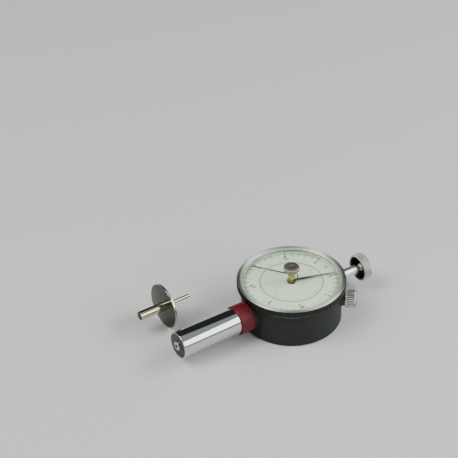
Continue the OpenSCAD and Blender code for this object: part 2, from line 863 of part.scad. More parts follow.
module pointer_boss() {
    color([0.78, 0.62, 0.28]) ring_z_axis(boss_z, boss_h, boss_r, arbor_r + seat_gap);
}

// Hand that narrows from its root to its point
function hand_outline(root) = [
    [0, -root / 2], [hand_len, -hand_point / 2], [hand_len, hand_point / 2], [0, root / 2]
];

module main_pointer() {
    color([0.06, 0.06, 0.06]) rotate([0, 0, -main_angle]) translate([0, 0, hand_z]) difference() {
        union() {
            cylinder(h = hand_t, r = hand_eye);
            linear_extrude(hand_t) polygon(hand_outline(hand_root));
        }
        translate([0, 0, -cut]) cylinder(h = hand_t + 2 * cut, r = boss_r + seat_gap);
    }
}

module drive_pin() {
    color([0.78, 0.62, 0.28]) rotate([0, 0, -main_angle]) translate([drive_at, 0, hand_z + hand_t])
        cylinder(h = drive_top - hand_z - hand_t, r = drive_r);
}

// Ring serrated up to its top face, with a lip over the crystal and a groove for the snap ring
module bezel() {
    root = bezel_r - bezel_tooth;
    rim_z = bezel_top - bezel_rim;
    groove_t = ring_t + 2 * ring_room;
    color([0.84, 0.85, 0.85]) difference() {
        union() {
            rotate_extrude() polygon([
                [pocket_r, bezel_z], [root - bezel_edge, bezel_z], [root, bezel_z + bezel_edge],
                [root, rim_z], [root - bezel_rim, bezel_top], [lip_r + lip_slope, bezel_top],
                [lip_r, lip_z + lip_edge], [lip_r, lip_z], [pocket_r, lip_z]
            ]);
            translate([0, 0, bezel_z + bezel_edge]) difference() {
                knurled(bezel_h - bezel_edge - bezel_rim, bezel_teeth, bezel_r, 2 * bezel_tooth);
                translate([0, 0, -cut]) cylinder(h = bezel_h, r = (pocket_r + root) / 2);
            }
        }
        ring_z_axis(ring_z - groove_t / 2, groove_t, pocket_r + ring_bite + ring_room, pocket_r - cut);
    }
}

module crystal() {
    color([0.85, 0.9, 0.9, 0.35]) difference() {
        union() {
            intersection() {
                translate([0, 0, flange_z]) cylinder(h = crown_z, r = shoulder_r);
                translate([0, 0, crown_z - crown_r]) sphere(r = crown_r);
            }
            translate([0, 0, flange_z]) cylinder(h = flange_t, r = stack_r);
        }
        intersection() {
            translate([0, 0, flange_z - cut]) cylinder(h = crown_z, r = window_r);
            translate([0, 0, crown_z - crown_r]) sphere(r = crown_r - crystal_t);
        }
        cylinder(h = crown_z + cut, r = crystal_hole_r + seat_gap);
    }
}

module crystal_bush() {
    flange = 0.8;
    color([0.78, 0.62, 0.28]) difference() {
        union() {
            translate([0, 0, bush_z]) cylinder(h = bush_top - bush_z, r = crystal_hole_r);
            translate([0, 0, crown_z + seat_gap])
                cylinder(h = bush_top - crown_z - seat_gap, r = crystal_hole_r + flange);
        }
        cylinder(h = bush_top + cut, r = shaft_r + run_gap);
    }
}

module spacer_ring() {
    color([0.7, 0.71, 0.71]) ring_z_axis(dial_z, spacer_t, stack_r, stack_r - spacer_w);
}

module dial_plate() {
    color([0.9, 0.92, 0.88]) difference() {
        translate([0, 0, plate_z]) cylinder(h = dial_t, r = stack_r);
        cylinder(h = bezel_top, r = boss_r + free_gap);
        at_dial_screws() cylinder(h = dial_t - dial_skin + cut, r = small_r + seat_gap);
    }
}

// Places children on the dial's underside, where its screws hold the carrier
module at_dial_screws() {
    around(3, (carrier_in + carrier_r) / 2, 60) translate([0, 0, plate_z - cut]) children();
}

module dial_carrier() {
    color([0.72, 0.6, 0.34]) difference() {
        ring_z_axis(carrier_z, carrier_h, carrier_r, carrier_in);
        at_dial_screws() translate([0, 0, -carrier_h]) {
            cylinder(h = carrier_h + 2 * cut, r = small_r + seat_gap);
            cylinder(h = small_head_t + cut, r = small_head_r + seat_gap);
        }
    }
}

module dial_screws() {
    shank = carrier_h - small_head_t + dial_t - dial_skin - seat_gap;
    color([0.75, 0.75, 0.73]) at_dial_screws() translate([0, 0, small_head_t - carrier_h + cut])
        screw(shank, small_r, small_head_r, small_head_t - seat_gap);
}

module reset_knob() {
    rim = 0.3;
    root = knob_r - knurl;
    band_z = knob_z + knob_cone;
    color([0.72, 0.71, 0.68]) difference() {
        union() {
            rotate_extrude() polygon([
                [0, knob_z], [knob_foot_r, knob_z], [root, band_z], [root, knob_top - rim],
                [root - rim, knob_top], [0, knob_top]
            ]);
            translate([0, 0, band_z]) knurled(knob_top - rim - band_z, knob_teeth, knob_r, 2 * knurl);
        }
        translate([0, 0, knob_z - cut]) cylinder(h = shaft_top - knob_z + cut, r = shaft_r + seat_gap);
        translate([0, 0, knob_z]) cylinder(h = knob_h + cut, r = knob_screw_r + seat_gap);
        translate([0, 0, knob_top - knob_sink]) cylinder(h = knob_sink + cut, r = head_r);
    }
}

module reset_shaft() {
    color([0.8, 0.8, 0.78]) difference() {
        translate([0, 0, hub_z]) cylinder(h = shaft_top - hub_z, r = shaft_r);
        translate([0, 0, shaft_top - screw_hole]) cylinder(h = screw_hole + cut, r = knob_screw_r + seat_gap);
    }
}

module knob_screw() {
    color([0.3, 0.3, 0.3]) translate([0, 0, knob_top - knob_sink]) mirror([0, 0, 1])
        screw(knob_web + screw_bite, knob_screw_r, head_r - knob_head_gap, knob_sink - knob_head_sink);
}

module reset_hub() {
    color([0.78, 0.62, 0.28]) ring_z_axis(hub_z, hub_h, boss_r, shaft_r + seat_gap);
}

// Drag hand: level at its hub, then sloping, then bent down at the tip
module drag_pointer() {
    color([0.06, 0.06, 0.06]) rotate([0, 0, -drag_angle]) {
        ring_z_axis(eye_z, hand_t, boss_r, shaft_r + seat_gap);
        difference() {
            intersection() {
                rotate([90, 0, 0]) translate([0, 0, -boss_r]) linear_extrude(2 * boss_r) polygon([
                    [shaft_r, eye_z], [boss_r, eye_z], [kink_r, eye_z - kink_drop],
                    [hand_len, eye_z - tip_drop], [hand_len, eye_z - tip_drop + hand_t],
                    [kink_r, eye_z - kink_drop + hand_t], [boss_r, eye_z + hand_t], [shaft_r, eye_z + hand_t]
                ]);
                linear_extrude(crown_z) polygon(hand_outline(drag_root));
            }
            cylinder(h = crown_z, r = shaft_r + seat_gap);
        }
    }
}

module lock_screw() {
    root = lock_d / 2 - knurl;
    groove_z = lock_head + lock_disc - lock_groove_w;
    band_z = lock_head + lock_disc;
    band_top = lock_head + lock_len - lock_taper;
    end_r = root - lock_taper / 2;
    color([0.84, 0.84, 0.82]) at_lock() union() {
        rotate_extrude() polygon([
            [0, lock_shank_in], [lock_shank_r, lock_shank_in], [lock_shank_r, lock_head],
            [lock_disc_r, lock_head], [lock_disc_r, groove_z], [root - lock_groove, groove_z],
            [root - lock_groove, band_z], [root, band_z], [root, band_top], [end_r, band_top + lock_taper],
            [0, band_top + lock_taper]
        ]);
        translate([0, 0, band_z]) knurled(band_top - band_z, lock_teeth, lock_d / 2, 2 * knurl);
    }
}

module probe_tip() {
    color([0.83, 0.81, 0.74]) translate([tip_x, tip_y, disc_r]) rotate([0, 90, 0]) {
        intersection() {
            translate([0, 0, -probe_len]) cylinder(h = probe_len, r = probe_r);
            union() {
                translate([0, 0, dome_r - probe_len]) sphere(r = dome_r);
                translate([0, 0, dome_r - probe_len]) cylinder(h = probe_len, r = dome_r);
            }
        }
        translate([0, 0, -cut]) cylinder(h = disc_t + cut, r = disc_hole_r - seat_gap);
        rotate_extrude() polygon([
            [0, disc_t - cut], [pin_r, disc_t - cut], [pin_r, disc_t + pin_len - chamfer],
            [pin_r - chamfer, disc_t + pin_len], [0, disc_t + pin_len]
        ]);
    }
}

module tip_disc() {
    edge = 0.2;
    color([0.86, 0.84, 0.78]) translate([tip_x, tip_y, disc_r]) rotate([0, 90, 0]) rotate_extrude() polygon([
        [disc_hole_r, 0], [disc_r - edge, 0], [disc_r, edge],
        [disc_r, disc_t - edge], [disc_r - edge, disc_t], [disc_hole_r, disc_t]
    ]);
}

case_shell();
back_cover();
back_screws();
barrel();
nose_bush();
rear_bush();
spring_seat();
barrel_nut();
collar();
main_spring();
stem();
stem_nut();
lock_bush();
clamp_dog();
base_plate();
plate_screws();
pillars();
bridge_plate();
bridge_screws();
lower_bearing();
upper_bearing();
hairspring();
hairspring_stud();
bezel_ring();
plunger_rod();
spring_collar();
collar_clip();
rack_frame();
guide_pin();
tail_rod();
lift_cap();
pinion_arbor();
hairspring_collet();
pointer_boss();
main_pointer();
drive_pin();
bezel();
crystal();
crystal_bush();
spacer_ring();
dial_plate();
dial_carrier();
dial_screws();
reset_knob();
reset_shaft();
knob_screw();
reset_hub();
drag_pointer();
lock_screw();
probe_tip();
tip_disc();
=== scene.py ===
"""Dial penetrometer: turned, knurled and printed pieces, finishes and stage round its CAD frame."""

import json
from math import atan2, cos, pi, radians, sin, tau

import bmesh
import bpy
from bpy.props import FloatProperty, FloatVectorProperty, IntProperty, PointerProperty
from mathutils import Matrix, Vector

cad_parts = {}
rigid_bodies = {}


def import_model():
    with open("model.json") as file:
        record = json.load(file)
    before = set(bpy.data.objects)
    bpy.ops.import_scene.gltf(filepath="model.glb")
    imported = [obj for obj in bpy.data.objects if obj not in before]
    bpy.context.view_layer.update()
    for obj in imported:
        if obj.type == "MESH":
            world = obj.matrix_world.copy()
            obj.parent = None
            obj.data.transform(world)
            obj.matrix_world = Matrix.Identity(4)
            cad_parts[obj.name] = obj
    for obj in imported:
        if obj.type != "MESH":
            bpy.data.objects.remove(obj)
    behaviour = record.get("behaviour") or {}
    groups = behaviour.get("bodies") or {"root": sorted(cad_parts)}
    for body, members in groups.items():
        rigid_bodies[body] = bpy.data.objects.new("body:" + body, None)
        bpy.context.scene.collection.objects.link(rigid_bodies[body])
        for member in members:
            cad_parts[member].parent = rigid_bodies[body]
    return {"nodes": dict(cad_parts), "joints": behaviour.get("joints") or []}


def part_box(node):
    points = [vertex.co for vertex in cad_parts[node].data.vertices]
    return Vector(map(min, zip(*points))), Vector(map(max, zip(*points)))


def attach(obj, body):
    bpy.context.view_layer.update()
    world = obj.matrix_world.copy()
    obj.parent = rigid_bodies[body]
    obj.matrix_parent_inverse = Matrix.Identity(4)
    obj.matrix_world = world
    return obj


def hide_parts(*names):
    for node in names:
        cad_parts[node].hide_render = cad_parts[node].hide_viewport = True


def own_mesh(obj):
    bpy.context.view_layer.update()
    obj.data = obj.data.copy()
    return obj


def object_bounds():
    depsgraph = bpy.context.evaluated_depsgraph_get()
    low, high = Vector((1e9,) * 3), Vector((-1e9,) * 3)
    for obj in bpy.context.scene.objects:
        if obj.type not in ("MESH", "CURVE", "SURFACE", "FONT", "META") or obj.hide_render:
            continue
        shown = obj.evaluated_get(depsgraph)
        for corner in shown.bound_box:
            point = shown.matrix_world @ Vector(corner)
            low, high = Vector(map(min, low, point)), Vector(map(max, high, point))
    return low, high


bl_info = {
    "name": "Dial Penetrometer",
    "version": (1, 0, 0),
    "blender": (4, 5, 0),
    "location": "3D View > Sidebar > Penetrometer",
    "description": "Dresses the CAD frame of a dial penetrometer with turned and printed pieces",
    "category": "Object",
}

# Blender's start-up objects would count in the object's box
for start_object in list(bpy.data.objects):
    bpy.data.objects.remove(start_object)

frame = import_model()
CAD_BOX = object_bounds()
PHOTO_WIDTH = 458
SENSOR_WIDTH = 36.0
MM = 0.001
FIT = 0.02 * MM
FINE = 1e-7
SMOOTH_ANGLE = radians(32)
CREST = "crest"

# Faces round the turned pieces, along a rounded corner and on each tooth
LARGE_STEPS = 192
MEDIUM_STEPS = 160
SMALL_STEPS = 128
CORNER_STEPS = 4
TOOTH_STEPS = 6
DIAMOND_STEPS = 8

# How steep the knurling's flanks are: above 1, its crests are flat
STRAIGHT_FLANK = 1.25
DIAMOND_FLANK = 1.8

# Loads on the dial, in kilograms for the black scale and in newtons for the red one
FIRST_LOAD = 0.5
LAST_LOAD = 4
MARKS_PER_KILOGRAM = 50
FIRST_FORCE = 5
LAST_FORCE = 40
FORCE_PER_NUMERAL = 5
KILOGRAMS_PER_NEWTON = 1 / 9.80665

# Quarter turn of the highlights, for grooves that run round the axis
ROUND_THE_AXIS = 0.25

# Lamps: name, place, size, power and tint
LAMPS = (
    ("left key", (-0.66, 0.16, 0.9), (0.6, 0.6), 9, (1, 0.99, 0.96)),
    ("right key", (0.85, -0.25, 0.75), (0.4, 0.4), 5, (1, 1, 1)),
    ("front", (0.48, -0.75, 0.6), (0.9, 0.7), 8, (1, 1, 1)),
)
DARK_SIDE = Vector((0.44, 0.67, 0.6)).normalized()
FLOOR_SIZE = 4
FLOOR_FIELDS = 8


def low(node):
    """Lowest corner of a CAD node."""
    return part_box(node)[0]


def high(node):
    """Highest corner of a CAD node."""
    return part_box(node)[1]


def middle(node):
    """Middle of a CAD node's box."""
    return (low(node) + high(node)) / 2


def joint(name):
    """Row of a joint in the frame."""
    return next(row for row in frame["joints"] if row["name"] == name)


# Places of the turned pieces: local Z is the axis that each is turned round
AXIS_Z = middle("barrel").z
UPRIGHT = Matrix.Identity(4)
LYING = Matrix.Rotation(pi / 2, 4, "Y")
PLUNGER_AXIS = Matrix.Translation((0, 0, AXIS_Z)) @ LYING
LOCK_DIRECTION = Vector(joint("lock_turn")["axis"])
LOCK_AXIS = Matrix.Rotation(atan2(LOCK_DIRECTION.y, LOCK_DIRECTION.x), 4, "Z") @ PLUNGER_AXIS
TIP_AXIS = Matrix.Translation((0, middle("tip_disc").y, middle("tip_disc").z)) @ LYING
BEZEL_TOP = high("bezel").z
DIAL_FACE = high("dial_plate").z


def length(name, description, default):
    """Size property, given in millimetres and kept in metres."""
    return FloatProperty(name=name, description=description, default=default * MM, min=0,
                         unit="LENGTH", precision=5)


def angle(name, description, default):
    """Angle property, given in degrees."""
    return FloatProperty(name=name, description=description, default=radians(default),
                         unit="ROTATION")


def colour(name, description, default):
    """Colour property in linear light."""
    return FloatVectorProperty(name=name, description=description, default=default,
                               subtype="COLOR", min=0, max=1)


def count(name, description, default):
    """Property for a number of teeth or turns."""
    return IntProperty(name=name, description=description, default=default, min=1)


def pixels(name, description, default):
    """Property for a length or place in the picture, in pixels."""
    return FloatProperty(name=name, description=description, default=default, subtype="PIXEL")


class PenetrometerShape(bpy.types.PropertyGroup):
    """Sizes and counts of the turned and knurled pieces."""
    edge: length("Edge", "Radius of the broken edges on turned pieces", 0.15)
    tooth: length("Knurl depth", "Depth of the knurling on knobs and cap", 0.3)
    bezel_teeth: count("Bezel serrations", "Serrations round the bezel", 150)
    bezel_tooth: length("Serration depth", "Depth of the bezel's serrations", 0.3)
    lip_width: length("Lip width", "How far the bezel's lip reaches in over the crystal", 0.75)
    hand_extra: length("Hand extra", "How much further the hands reach than their solids", 1.1)
    cap_diamonds: count("Cap diamonds", "Diamonds round the knurled cap", 36)
    lock_teeth: count("Lock ridges", "Ridges round the lock screw", 30)
    knob_teeth: count("Knob ridges", "Ridges round the reset knob", 40)
    spring_turns: count("Spring turns", "Turns of the weighing spring", 12)
    spring_wire: length("Spring wire", "Wire diameter of the weighing spring", 1.25)


class PenetrometerDial(bpy.types.PropertyGroup):
    """Sizes of the printed scales, with angles clockwise from the stem."""
    per_kilogram: angle("Per kilogram", "Turn of the hand for one kilogram", 92.3)
    first_mark: angle("First mark", "Place of the first mark, at half a kilogram", 19.2)
    outer: length("Scale radius", "Outer end of the black marks", 26)
    half: length("Half kilogram marks", "Length of the marks at each half kilogram", 4.0)
    half_width: length("Half kilogram width", "Width of the marks at each half kilogram", 0.55)
    tenth: length("Tenth marks", "Length of the marks at each tenth of a kilogram", 3.3)
    tenth_width: length("Tenth width", "Width of the marks at each tenth of a kilogram", 0.44)
    fiftieth: length("Fiftieth marks", "Length of the marks at each fiftieth of a kilogram", 2.1)
    fiftieth_width: length("Fiftieth width", "Width of the marks at each fiftieth", 0.28)
    numeral_ring: length("Numeral radius", "Radius on which the black numerals stand", 20.9)
    numeral: length("Numeral size", "Type size of the black numerals", 3)
    weight: length("Weight", "How far the figures' strokes are thickened on each side", 0.09)
    red_ring: length("Red circle", "Radius of the red circle", 16.9)
    red_line: length("Red line", "Half the width of the red circle's line", 0.3)
    red_long: length("Long red marks", "Length of the red marks at the numerals", 2.1)
    red_short: length("Short red marks", "Length of the other red marks", 1.4)
    red_width: length("Red width", "Width of the red marks", 0.4)
    red_numeral_ring: length("Red numeral radius", "Radius on which the red numerals stand", 13.9)
    red_numeral: length("Red numeral size", "Type size of the red numerals", 1.6)
    ink: length("Ink height", "Height of the print above the dial", 0.015)


class PenetrometerFinish(bpy.types.PropertyGroup):
    """Colours of the finishes."""
    case: colour("Case", "Satin lacquer of the case", (0.010, 0.013, 0.0125))
    collar: colour("Collar", "Dark red lacquer of the collar", (0.12, 0.006, 0.014))
    chrome: colour("Chrome", "Plating of the barrel", (0.58, 0.6, 0.6))
    satin: colour("Satin chrome", "Turned top of the bezel", (0.75, 0.795, 0.73))
    nickel: colour("Nickel", "Plating of stem, cap and lock screw", (0.83, 0.86, 0.81))
    # Dark on the lock bush, painted shade in the cap recess, and painted dark reflection on the
    # barrel end and nose bush
    blackened: colour("Blackened", "Cap recess, barrel end and bushes", (0.05, 0.05, 0.047))
    # Painted reflection: the serrated side is coloured near black for the dark surround that chrome
    # reflects
    serrated: colour("Serrations", "Darkened side of the bezel", (0.028, 0.028, 0.026))
    knob: colour("Reset knob", "Dull warm plating of the reset knob", (0.42, 0.4, 0.35))
    tip: colour("Probe tip", "Warm plating of the probe tip", (0.62, 0.57, 0.42))
    # Painted reflection: disc faces and probe end are coloured near black for the dark surround
    # that polished steel reflects
    disc: colour("Juice disc", "Dark polish of disc faces and probe end", (0.06, 0.06, 0.054))
    steel: colour("Steel", "Machined steel", (0.52, 0.52, 0.52))
    spring: colour("Spring steel", "Drawn wire and blued strip", (0.2, 0.22, 0.27))
    brass: colour("Brass", "Turned brass", (0.4, 0.29, 0.11))
    dial: colour("Dial", "Pale grey-green enamel", (0.46, 0.57, 0.415))
    ink: colour("Black ink", "Black print and hands", (0.012, 0.013, 0.013))
    red_ink: colour("Red ink", "Red print", (0.34, 0.11, 0.12))


class PenetrometerStage(bpy.types.PropertyGroup):
    """Camera as measured in the photograph, and floor."""
    azimuth: angle("Azimuth", "Turn of the camera round the dial axis", -32.978)
    elevation: angle("Elevation", "Height of the camera over the dial", 36.545)
    roll: angle("Roll", "Lean of the camera", -0.968)
    distance: length("Distance", "From the camera to the middle of the bezel", 1053.8)
    focal_pixels: pixels("Focal length", "Focal length in pixels", 1980)
    bezel_column: pixels("Column", "Pixel column of the bezel's middle", 291.47)
    bezel_row: pixels("Row", "Pixel row of the bezel's middle", 278.52)
    floor: colour("Floor", "Plain pale floor", (0.62, 0.63, 0.62))


def shape():
    """Sizes and counts of the pieces."""
    return bpy.context.scene.penetrometer_shape


def finish():
    """Colours of the finishes."""
    return bpy.context.scene.penetrometer_finish


# Shader nodes and node groups

def add_node(tree, kind, inputs=None, **settings):
    """New shader node, with each input either linked from a socket or set to a value."""
    made = tree.nodes.new("ShaderNode" + kind)
    for key, value in settings.items():
        setattr(made, key, value)
    for key, value in (inputs or {}).items():
        if isinstance(value, bpy.types.NodeSocket):
            tree.links.new(value, made.inputs[key])
        else:
            made.inputs[key].default_value = value
    return made


def new_group(name, inputs, outputs):
    """Empty node group with named sockets, and its input and output nodes."""
    group = bpy.data.node_groups.new(name, "ShaderNodeTree")
    for socket_name, (kind, default) in inputs.items():
        socket = group.interface.new_socket(socket_name, in_out="INPUT",
                                            socket_type="NodeSocket" + kind)
        if default is not None:
            socket.default_value = default
    for socket_name, kind in outputs.items():
        group.interface.new_socket(socket_name, in_out="OUTPUT", socket_type="NodeSocket" + kind)
    return group, group.nodes.new("NodeGroupInput"), group.nodes.new("NodeGroupOutput")


def plated_metal_group(name):
    """Metal that has been handled: cloudy colour, smudged gloss and hairline scratches."""
    group, start, end = new_group(
        name,
        {"Vector": ("Vector", None), "Colour": ("Color", (0.8, 0.8, 0.8, 1)),
         "Tarnish": ("Float", 0.1), "Gloss": ("Float", 0.05), "Smudge": ("Float", 0.1),
         "Scratch": ("Float", 0.2)},
        {"Colour": "Color", "Roughness": "Float", "Height": "Float"})
    given = start.outputs
    clouds = add_node(group, "TexNoise", {
        "Vector": given["Vector"], "Scale": 160.0, "Detail": 4.0, "Roughness": 0.6})
    spots = add_node(group, "TexNoise", {
        "Vector": given["Vector"], "Scale": 900.0, "Detail": 3.0})
    share = add_node(group, "Math", {
        0: clouds.outputs["Fac"], 1: given["Tarnish"]}, operation="MULTIPLY")
    dulled = add_node(group, "MixRGB", {
        "Fac": share.outputs[0], "Color1": given["Colour"], "Color2": (0.32, 0.3, 0.24, 1)})
    stretched = add_node(group, "Mapping", {
        "Vector": given["Vector"], "Scale": (260.0, 2600.0, 1900.0), "Rotation": (0.3, 0.2, 0.9)})
    hairs = add_node(group, "TexNoise", {
        "Vector": stretched.outputs["Vector"], "Scale": 1.0, "Detail": 2.0})
    smudges = add_node(group, "MapRange", {
        "Value": clouds.outputs["Fac"], "From Min": 0.42, "From Max": 0.72,
        "To Min": 0.0, "To Max": given["Smudge"]}, interpolation_type="SMOOTHSTEP")
    grain = add_node(group, "MapRange", {
        "Value": spots.outputs["Fac"], "From Min": 0.3, "From Max": 0.8,
        "To Min": 0.0, "To Max": 0.03})
    gloss = add_node(group, "Math", {
        0: smudges.outputs[0], 1: given["Gloss"]}, operation="ADD")
    rough = add_node(group, "Math", {0: gloss.outputs[0], 1: grain.outputs[0]}, operation="ADD")
    height = add_node(group, "Math", {
        0: hairs.outputs["Fac"], 1: given["Scratch"]}, operation="MULTIPLY")
    group.links.new(dulled.outputs["Color"], end.inputs["Colour"])
    group.links.new(rough.outputs[0], end.inputs["Roughness"])
    group.links.new(height.outputs[0], end.inputs["Height"])
    return group


def turning_marks_group(name):
    """Fine rings that a lathe leaves round the Z axis of the vector."""
    group, start, end = new_group(
        name,
        {"Vector": ("Vector", None), "Rings": ("Float", 2000.0), "Depth": ("Float", 0.3)},
        {"Height": "Float"})
    given = start.outputs
    rings = add_node(group, "TexWave", {
        "Vector": given["Vector"], "Scale": given["Rings"], "Distortion": 0.6, "Detail": 2.0,
        "Detail Scale": 0.4}, wave_type="RINGS", rings_direction="Z")
    height = add_node(group, "Math", {
        0: rings.outputs["Fac"], 1: given["Depth"]}, operation="MULTIPLY")
    group.links.new(height.outputs[0], end.inputs["Height"])
    return group


def lacquer_group(name):
    """Sprayed lacquer: slightly cloudy colour, orange peel and a few specks of dust."""
    group, start, end = new_group(
        name,
        {"Vector": ("Vector", None), "Colour": ("Color", (0.1, 0.1, 0.1, 1)),
         "Cloud": ("Float", 0.15), "Dust": ("Float", 0.05), "Gloss": ("Float", 0.3),
         "Peel": ("Float", 0.3)},
        {"Colour": "Color", "Roughness": "Float", "Height": "Float"})
    given = start.outputs
    clouds = add_node(group, "TexNoise", {
        "Vector": given["Vector"], "Scale": 90.0, "Detail": 5.0, "Roughness": 0.55})
    share = add_node(group, "MapRange", {
        "Value": clouds.outputs["Fac"], "From Min": 0.35, "From Max": 0.75,
        "To Min": 0.0, "To Max": given["Cloud"]})
    lighter = add_node(group, "MixRGB", {
        "Fac": share.outputs[0], "Color1": given["Colour"], "Color2": (0.5, 0.5, 0.48, 1)})
    specks = add_node(group, "TexVoronoi", {
        "Vector": given["Vector"], "Scale": 420.0, "Randomness": 1.0})
    dust = add_node(group, "MapRange", {
        "Value": specks.outputs["Distance"], "From Min": 0.05, "From Max": 0.16,
        "To Min": given["Dust"], "To Max": 0.0})
    dusty = add_node(group, "MixRGB", {
        "Fac": dust.outputs[0], "Color1": lighter.outputs["Color"],
        "Color2": (0.6, 0.58, 0.54, 1)})
    peel = add_node(group, "TexNoise", {
        "Vector": given["Vector"], "Scale": 2600.0, "Detail": 2.0})
    rough = add_node(group, "MapRange", {
        "Value": clouds.outputs["Fac"], "From Min": 0.3, "From Max": 0.8,
        "To Min": -0.05, "To Max": 0.09})
    total = add_node(group, "Math", {0: rough.outputs[0], 1: given["Gloss"]}, operation="ADD")
    height = add_node(group, "Math", {
        0: peel.outputs["Fac"], 1: given["Peel"]}, operation="MULTIPLY")
    group.links.new(dusty.outputs["Color"], end.inputs["Colour"])
    group.links.new(total.outputs[0], end.inputs["Roughness"])
    group.links.new(height.outputs[0], end.inputs["Height"])
    return group


def grimy_grooves_group(name):
    """Painted shade: darkens metal between the crests of knurling, towards near black in the
    grooves.
    """
    group, start, end = new_group(
        name,
        {"Colour": ("Color", (0.7, 0.7, 0.7, 1)), "Crest": ("Float", 1.0),
         "Groove Shade": ("Float", 0.8)},
        {"Colour": "Color"})
    given = start.outputs
    depth = add_node(group, "MapRange", {
        "Value": given["Crest"], "From Min": 0.4, "From Max": 0.62,
        "To Min": given["Groove Shade"], "To Max": 0.0}, interpolation_type="SMOOTHSTEP")
    groove_shaded = add_node(group, "MixRGB", {
        "Fac": depth.outputs[0], "Color1": given["Colour"], "Color2": (0.012, 0.012, 0.011, 1)})
    group.links.new(groove_shaded.outputs["Color"], end.inputs["Colour"])
    return group


def add_effect(tree, name, build, inputs):
    """Places a shared node group, which is built the first time that it is asked for."""
    group = bpy.data.node_groups.get(name) or build(name)
    return add_node(tree, "Group", inputs, node_tree=group)


def start_material(name):
    """New material with its node tree, shader and object coordinates."""
    made = bpy.data.materials.new(name)
    made.use_nodes = True
    tree = made.node_tree
    shader = tree.nodes["Principled BSDF"]
    place = add_node(tree, "TexCoord").outputs["Object"]
    return made, tree, shader, place


def plated(name, tint, gloss, smudge, scratch=0.2, tarnish=0.08, axis=None, rings=2600.0,
           depth=0.0, groove_shade=0.0):
    """Plated or bare metal, with lathe rings where it has an axis, and painted shade in the grooves
    where knurled.
    """
    if name in bpy.data.materials:
        return bpy.data.materials[name]
    made, tree, shader, place = start_material(name)
    worn = add_effect(tree, "Plated Metal", plated_metal_group, {
        "Vector": place, "Colour": (*tint, 1), "Tarnish": tarnish, "Gloss": gloss,
        "Smudge": smudge, "Scratch": scratch})
    height = worn.outputs["Height"]
    if axis is not None:
        centred = axis.inverted()
        turned_place = add_node(tree, "Mapping", {
            "Vector": place, "Location": centred.translation, "Rotation": centred.to_euler()})
        marks = add_effect(tree, "Turning Marks", turning_marks_group, {
            "Vector": turned_place.outputs["Vector"], "Rings": rings, "Depth": depth})
        height = add_node(tree, "Math", {
            0: height, 1: marks.outputs["Height"]}, operation="ADD").outputs[0]
    bump = add_node(tree, "Bump", {"Height": height, "Strength": 0.12, "Distance": 0.00002})
    shade = worn.outputs["Colour"]
    # Painted shade: darkens the grooves between knurl crests by the crest attribute
    if groove_shade:
        crest = add_node(tree, "Attribute", attribute_name=CREST).outputs["Fac"]
        grooves = add_effect(tree, "Grimy Grooves", grimy_grooves_group, {
            "Colour": shade, "Crest": crest, "Groove Shade": groove_shade})
        shade = grooves.outputs["Colour"]
    tree.links.new(shade, shader.inputs["Base Color"])
    tree.links.new(worn.outputs["Roughness"], shader.inputs["Roughness"])
    tree.links.new(bump.outputs["Normal"], shader.inputs["Normal"])
    shader.inputs["Metallic"].default_value = 1.0
    return made


def lacquered(name, tint, gloss, cloud=0.1, dust=0.04, peel=0.4, coat=0.0, shine=0.5):
    """Lacquer, enamel or ink."""
    if name in bpy.data.materials:
        return bpy.data.materials[name]
    made, tree, shader, place = start_material(name)
    sprayed = add_effect(tree, "Lacquer", lacquer_group, {
        "Vector": place, "Colour": (*tint, 1), "Cloud": cloud, "Dust": dust, "Gloss": gloss,
        "Peel": peel})
    bump = add_node(tree, "Bump", {
        "Height": sprayed.outputs["Height"], "Strength": 0.15, "Distance": 0.00003})
    tree.links.new(sprayed.outputs["Colour"], shader.inputs["Base Color"])
    tree.links.new(sprayed.outputs["Roughness"], shader.inputs["Roughness"])
    tree.links.new(bump.outputs["Normal"], shader.inputs["Normal"])
    shader.inputs["Specular IOR Level"].default_value = shine
    shader.inputs["Coat Weight"].default_value = coat
    shader.inputs["Coat Roughness"].default_value = 0.08
    return made


def case_lacquer():
    return lacquered("Dark lacquer", finish().case, gloss=0.48, cloud=0.012, dust=0.012, peel=0.7,
                     shine=0.25)


def collar_lacquer():
    return lacquered("Collar lacquer", finish().collar, gloss=0.5, cloud=0.01, dust=0.012,
                     coat=0.04, shine=0.25)


def barrel_chrome():
    return plated("Barrel chrome", finish().chrome, gloss=0.035, smudge=0.07, scratch=0.1)


def turned_satin(name, gloss, metal, stretch):
    """Turned bright metal, whose fine grooves draw highlights out into fans."""
    if name in bpy.data.materials:
        return bpy.data.materials[name]
    made = plated(name, finish().satin, gloss, smudge=0.06, axis=UPRIGHT, rings=1500.0, depth=0.4)
    tree = made.node_tree
    shader = tree.nodes["Principled BSDF"]
    shader.inputs["Metallic"].default_value = metal
    shader.inputs["Anisotropic"].default_value = stretch
    shader.inputs["Anisotropic Rotation"].default_value = ROUND_THE_AXIS
    tangent = add_node(tree, "Tangent", direction_type="RADIAL", axis="Z")
    tree.links.new(tangent.outputs[0], shader.inputs["Tangent"])
    return made


def bezel_satin():
    return turned_satin("Bezel satin", gloss=0.5, metal=1.0, stretch=0.93)


def lip_satin():
    return turned_satin("Lip satin", gloss=0.45, metal=0.84, stretch=0.7)


# Painted reflection and painted shade: near black serrated side, darker still in the grooves
# between ridges
def serrations():
    return plated("Serrations", finish().serrated, gloss=0.3, smudge=0.1, axis=UPRIGHT,
                  rings=1500.0, depth=0.2, groove_shade=0.8)


# Dark metal: painted shade in the cap recess, painted dark reflection on the barrel end and nose
# bush
def blackened():
    return plated("Blackened", finish().blackened, gloss=0.35, smudge=0.1)


def stem_nickel():
    return plated("Stem nickel", finish().nickel, gloss=0.32, smudge=0.1, axis=PLUNGER_AXIS,
                  rings=1400.0, depth=0.3)


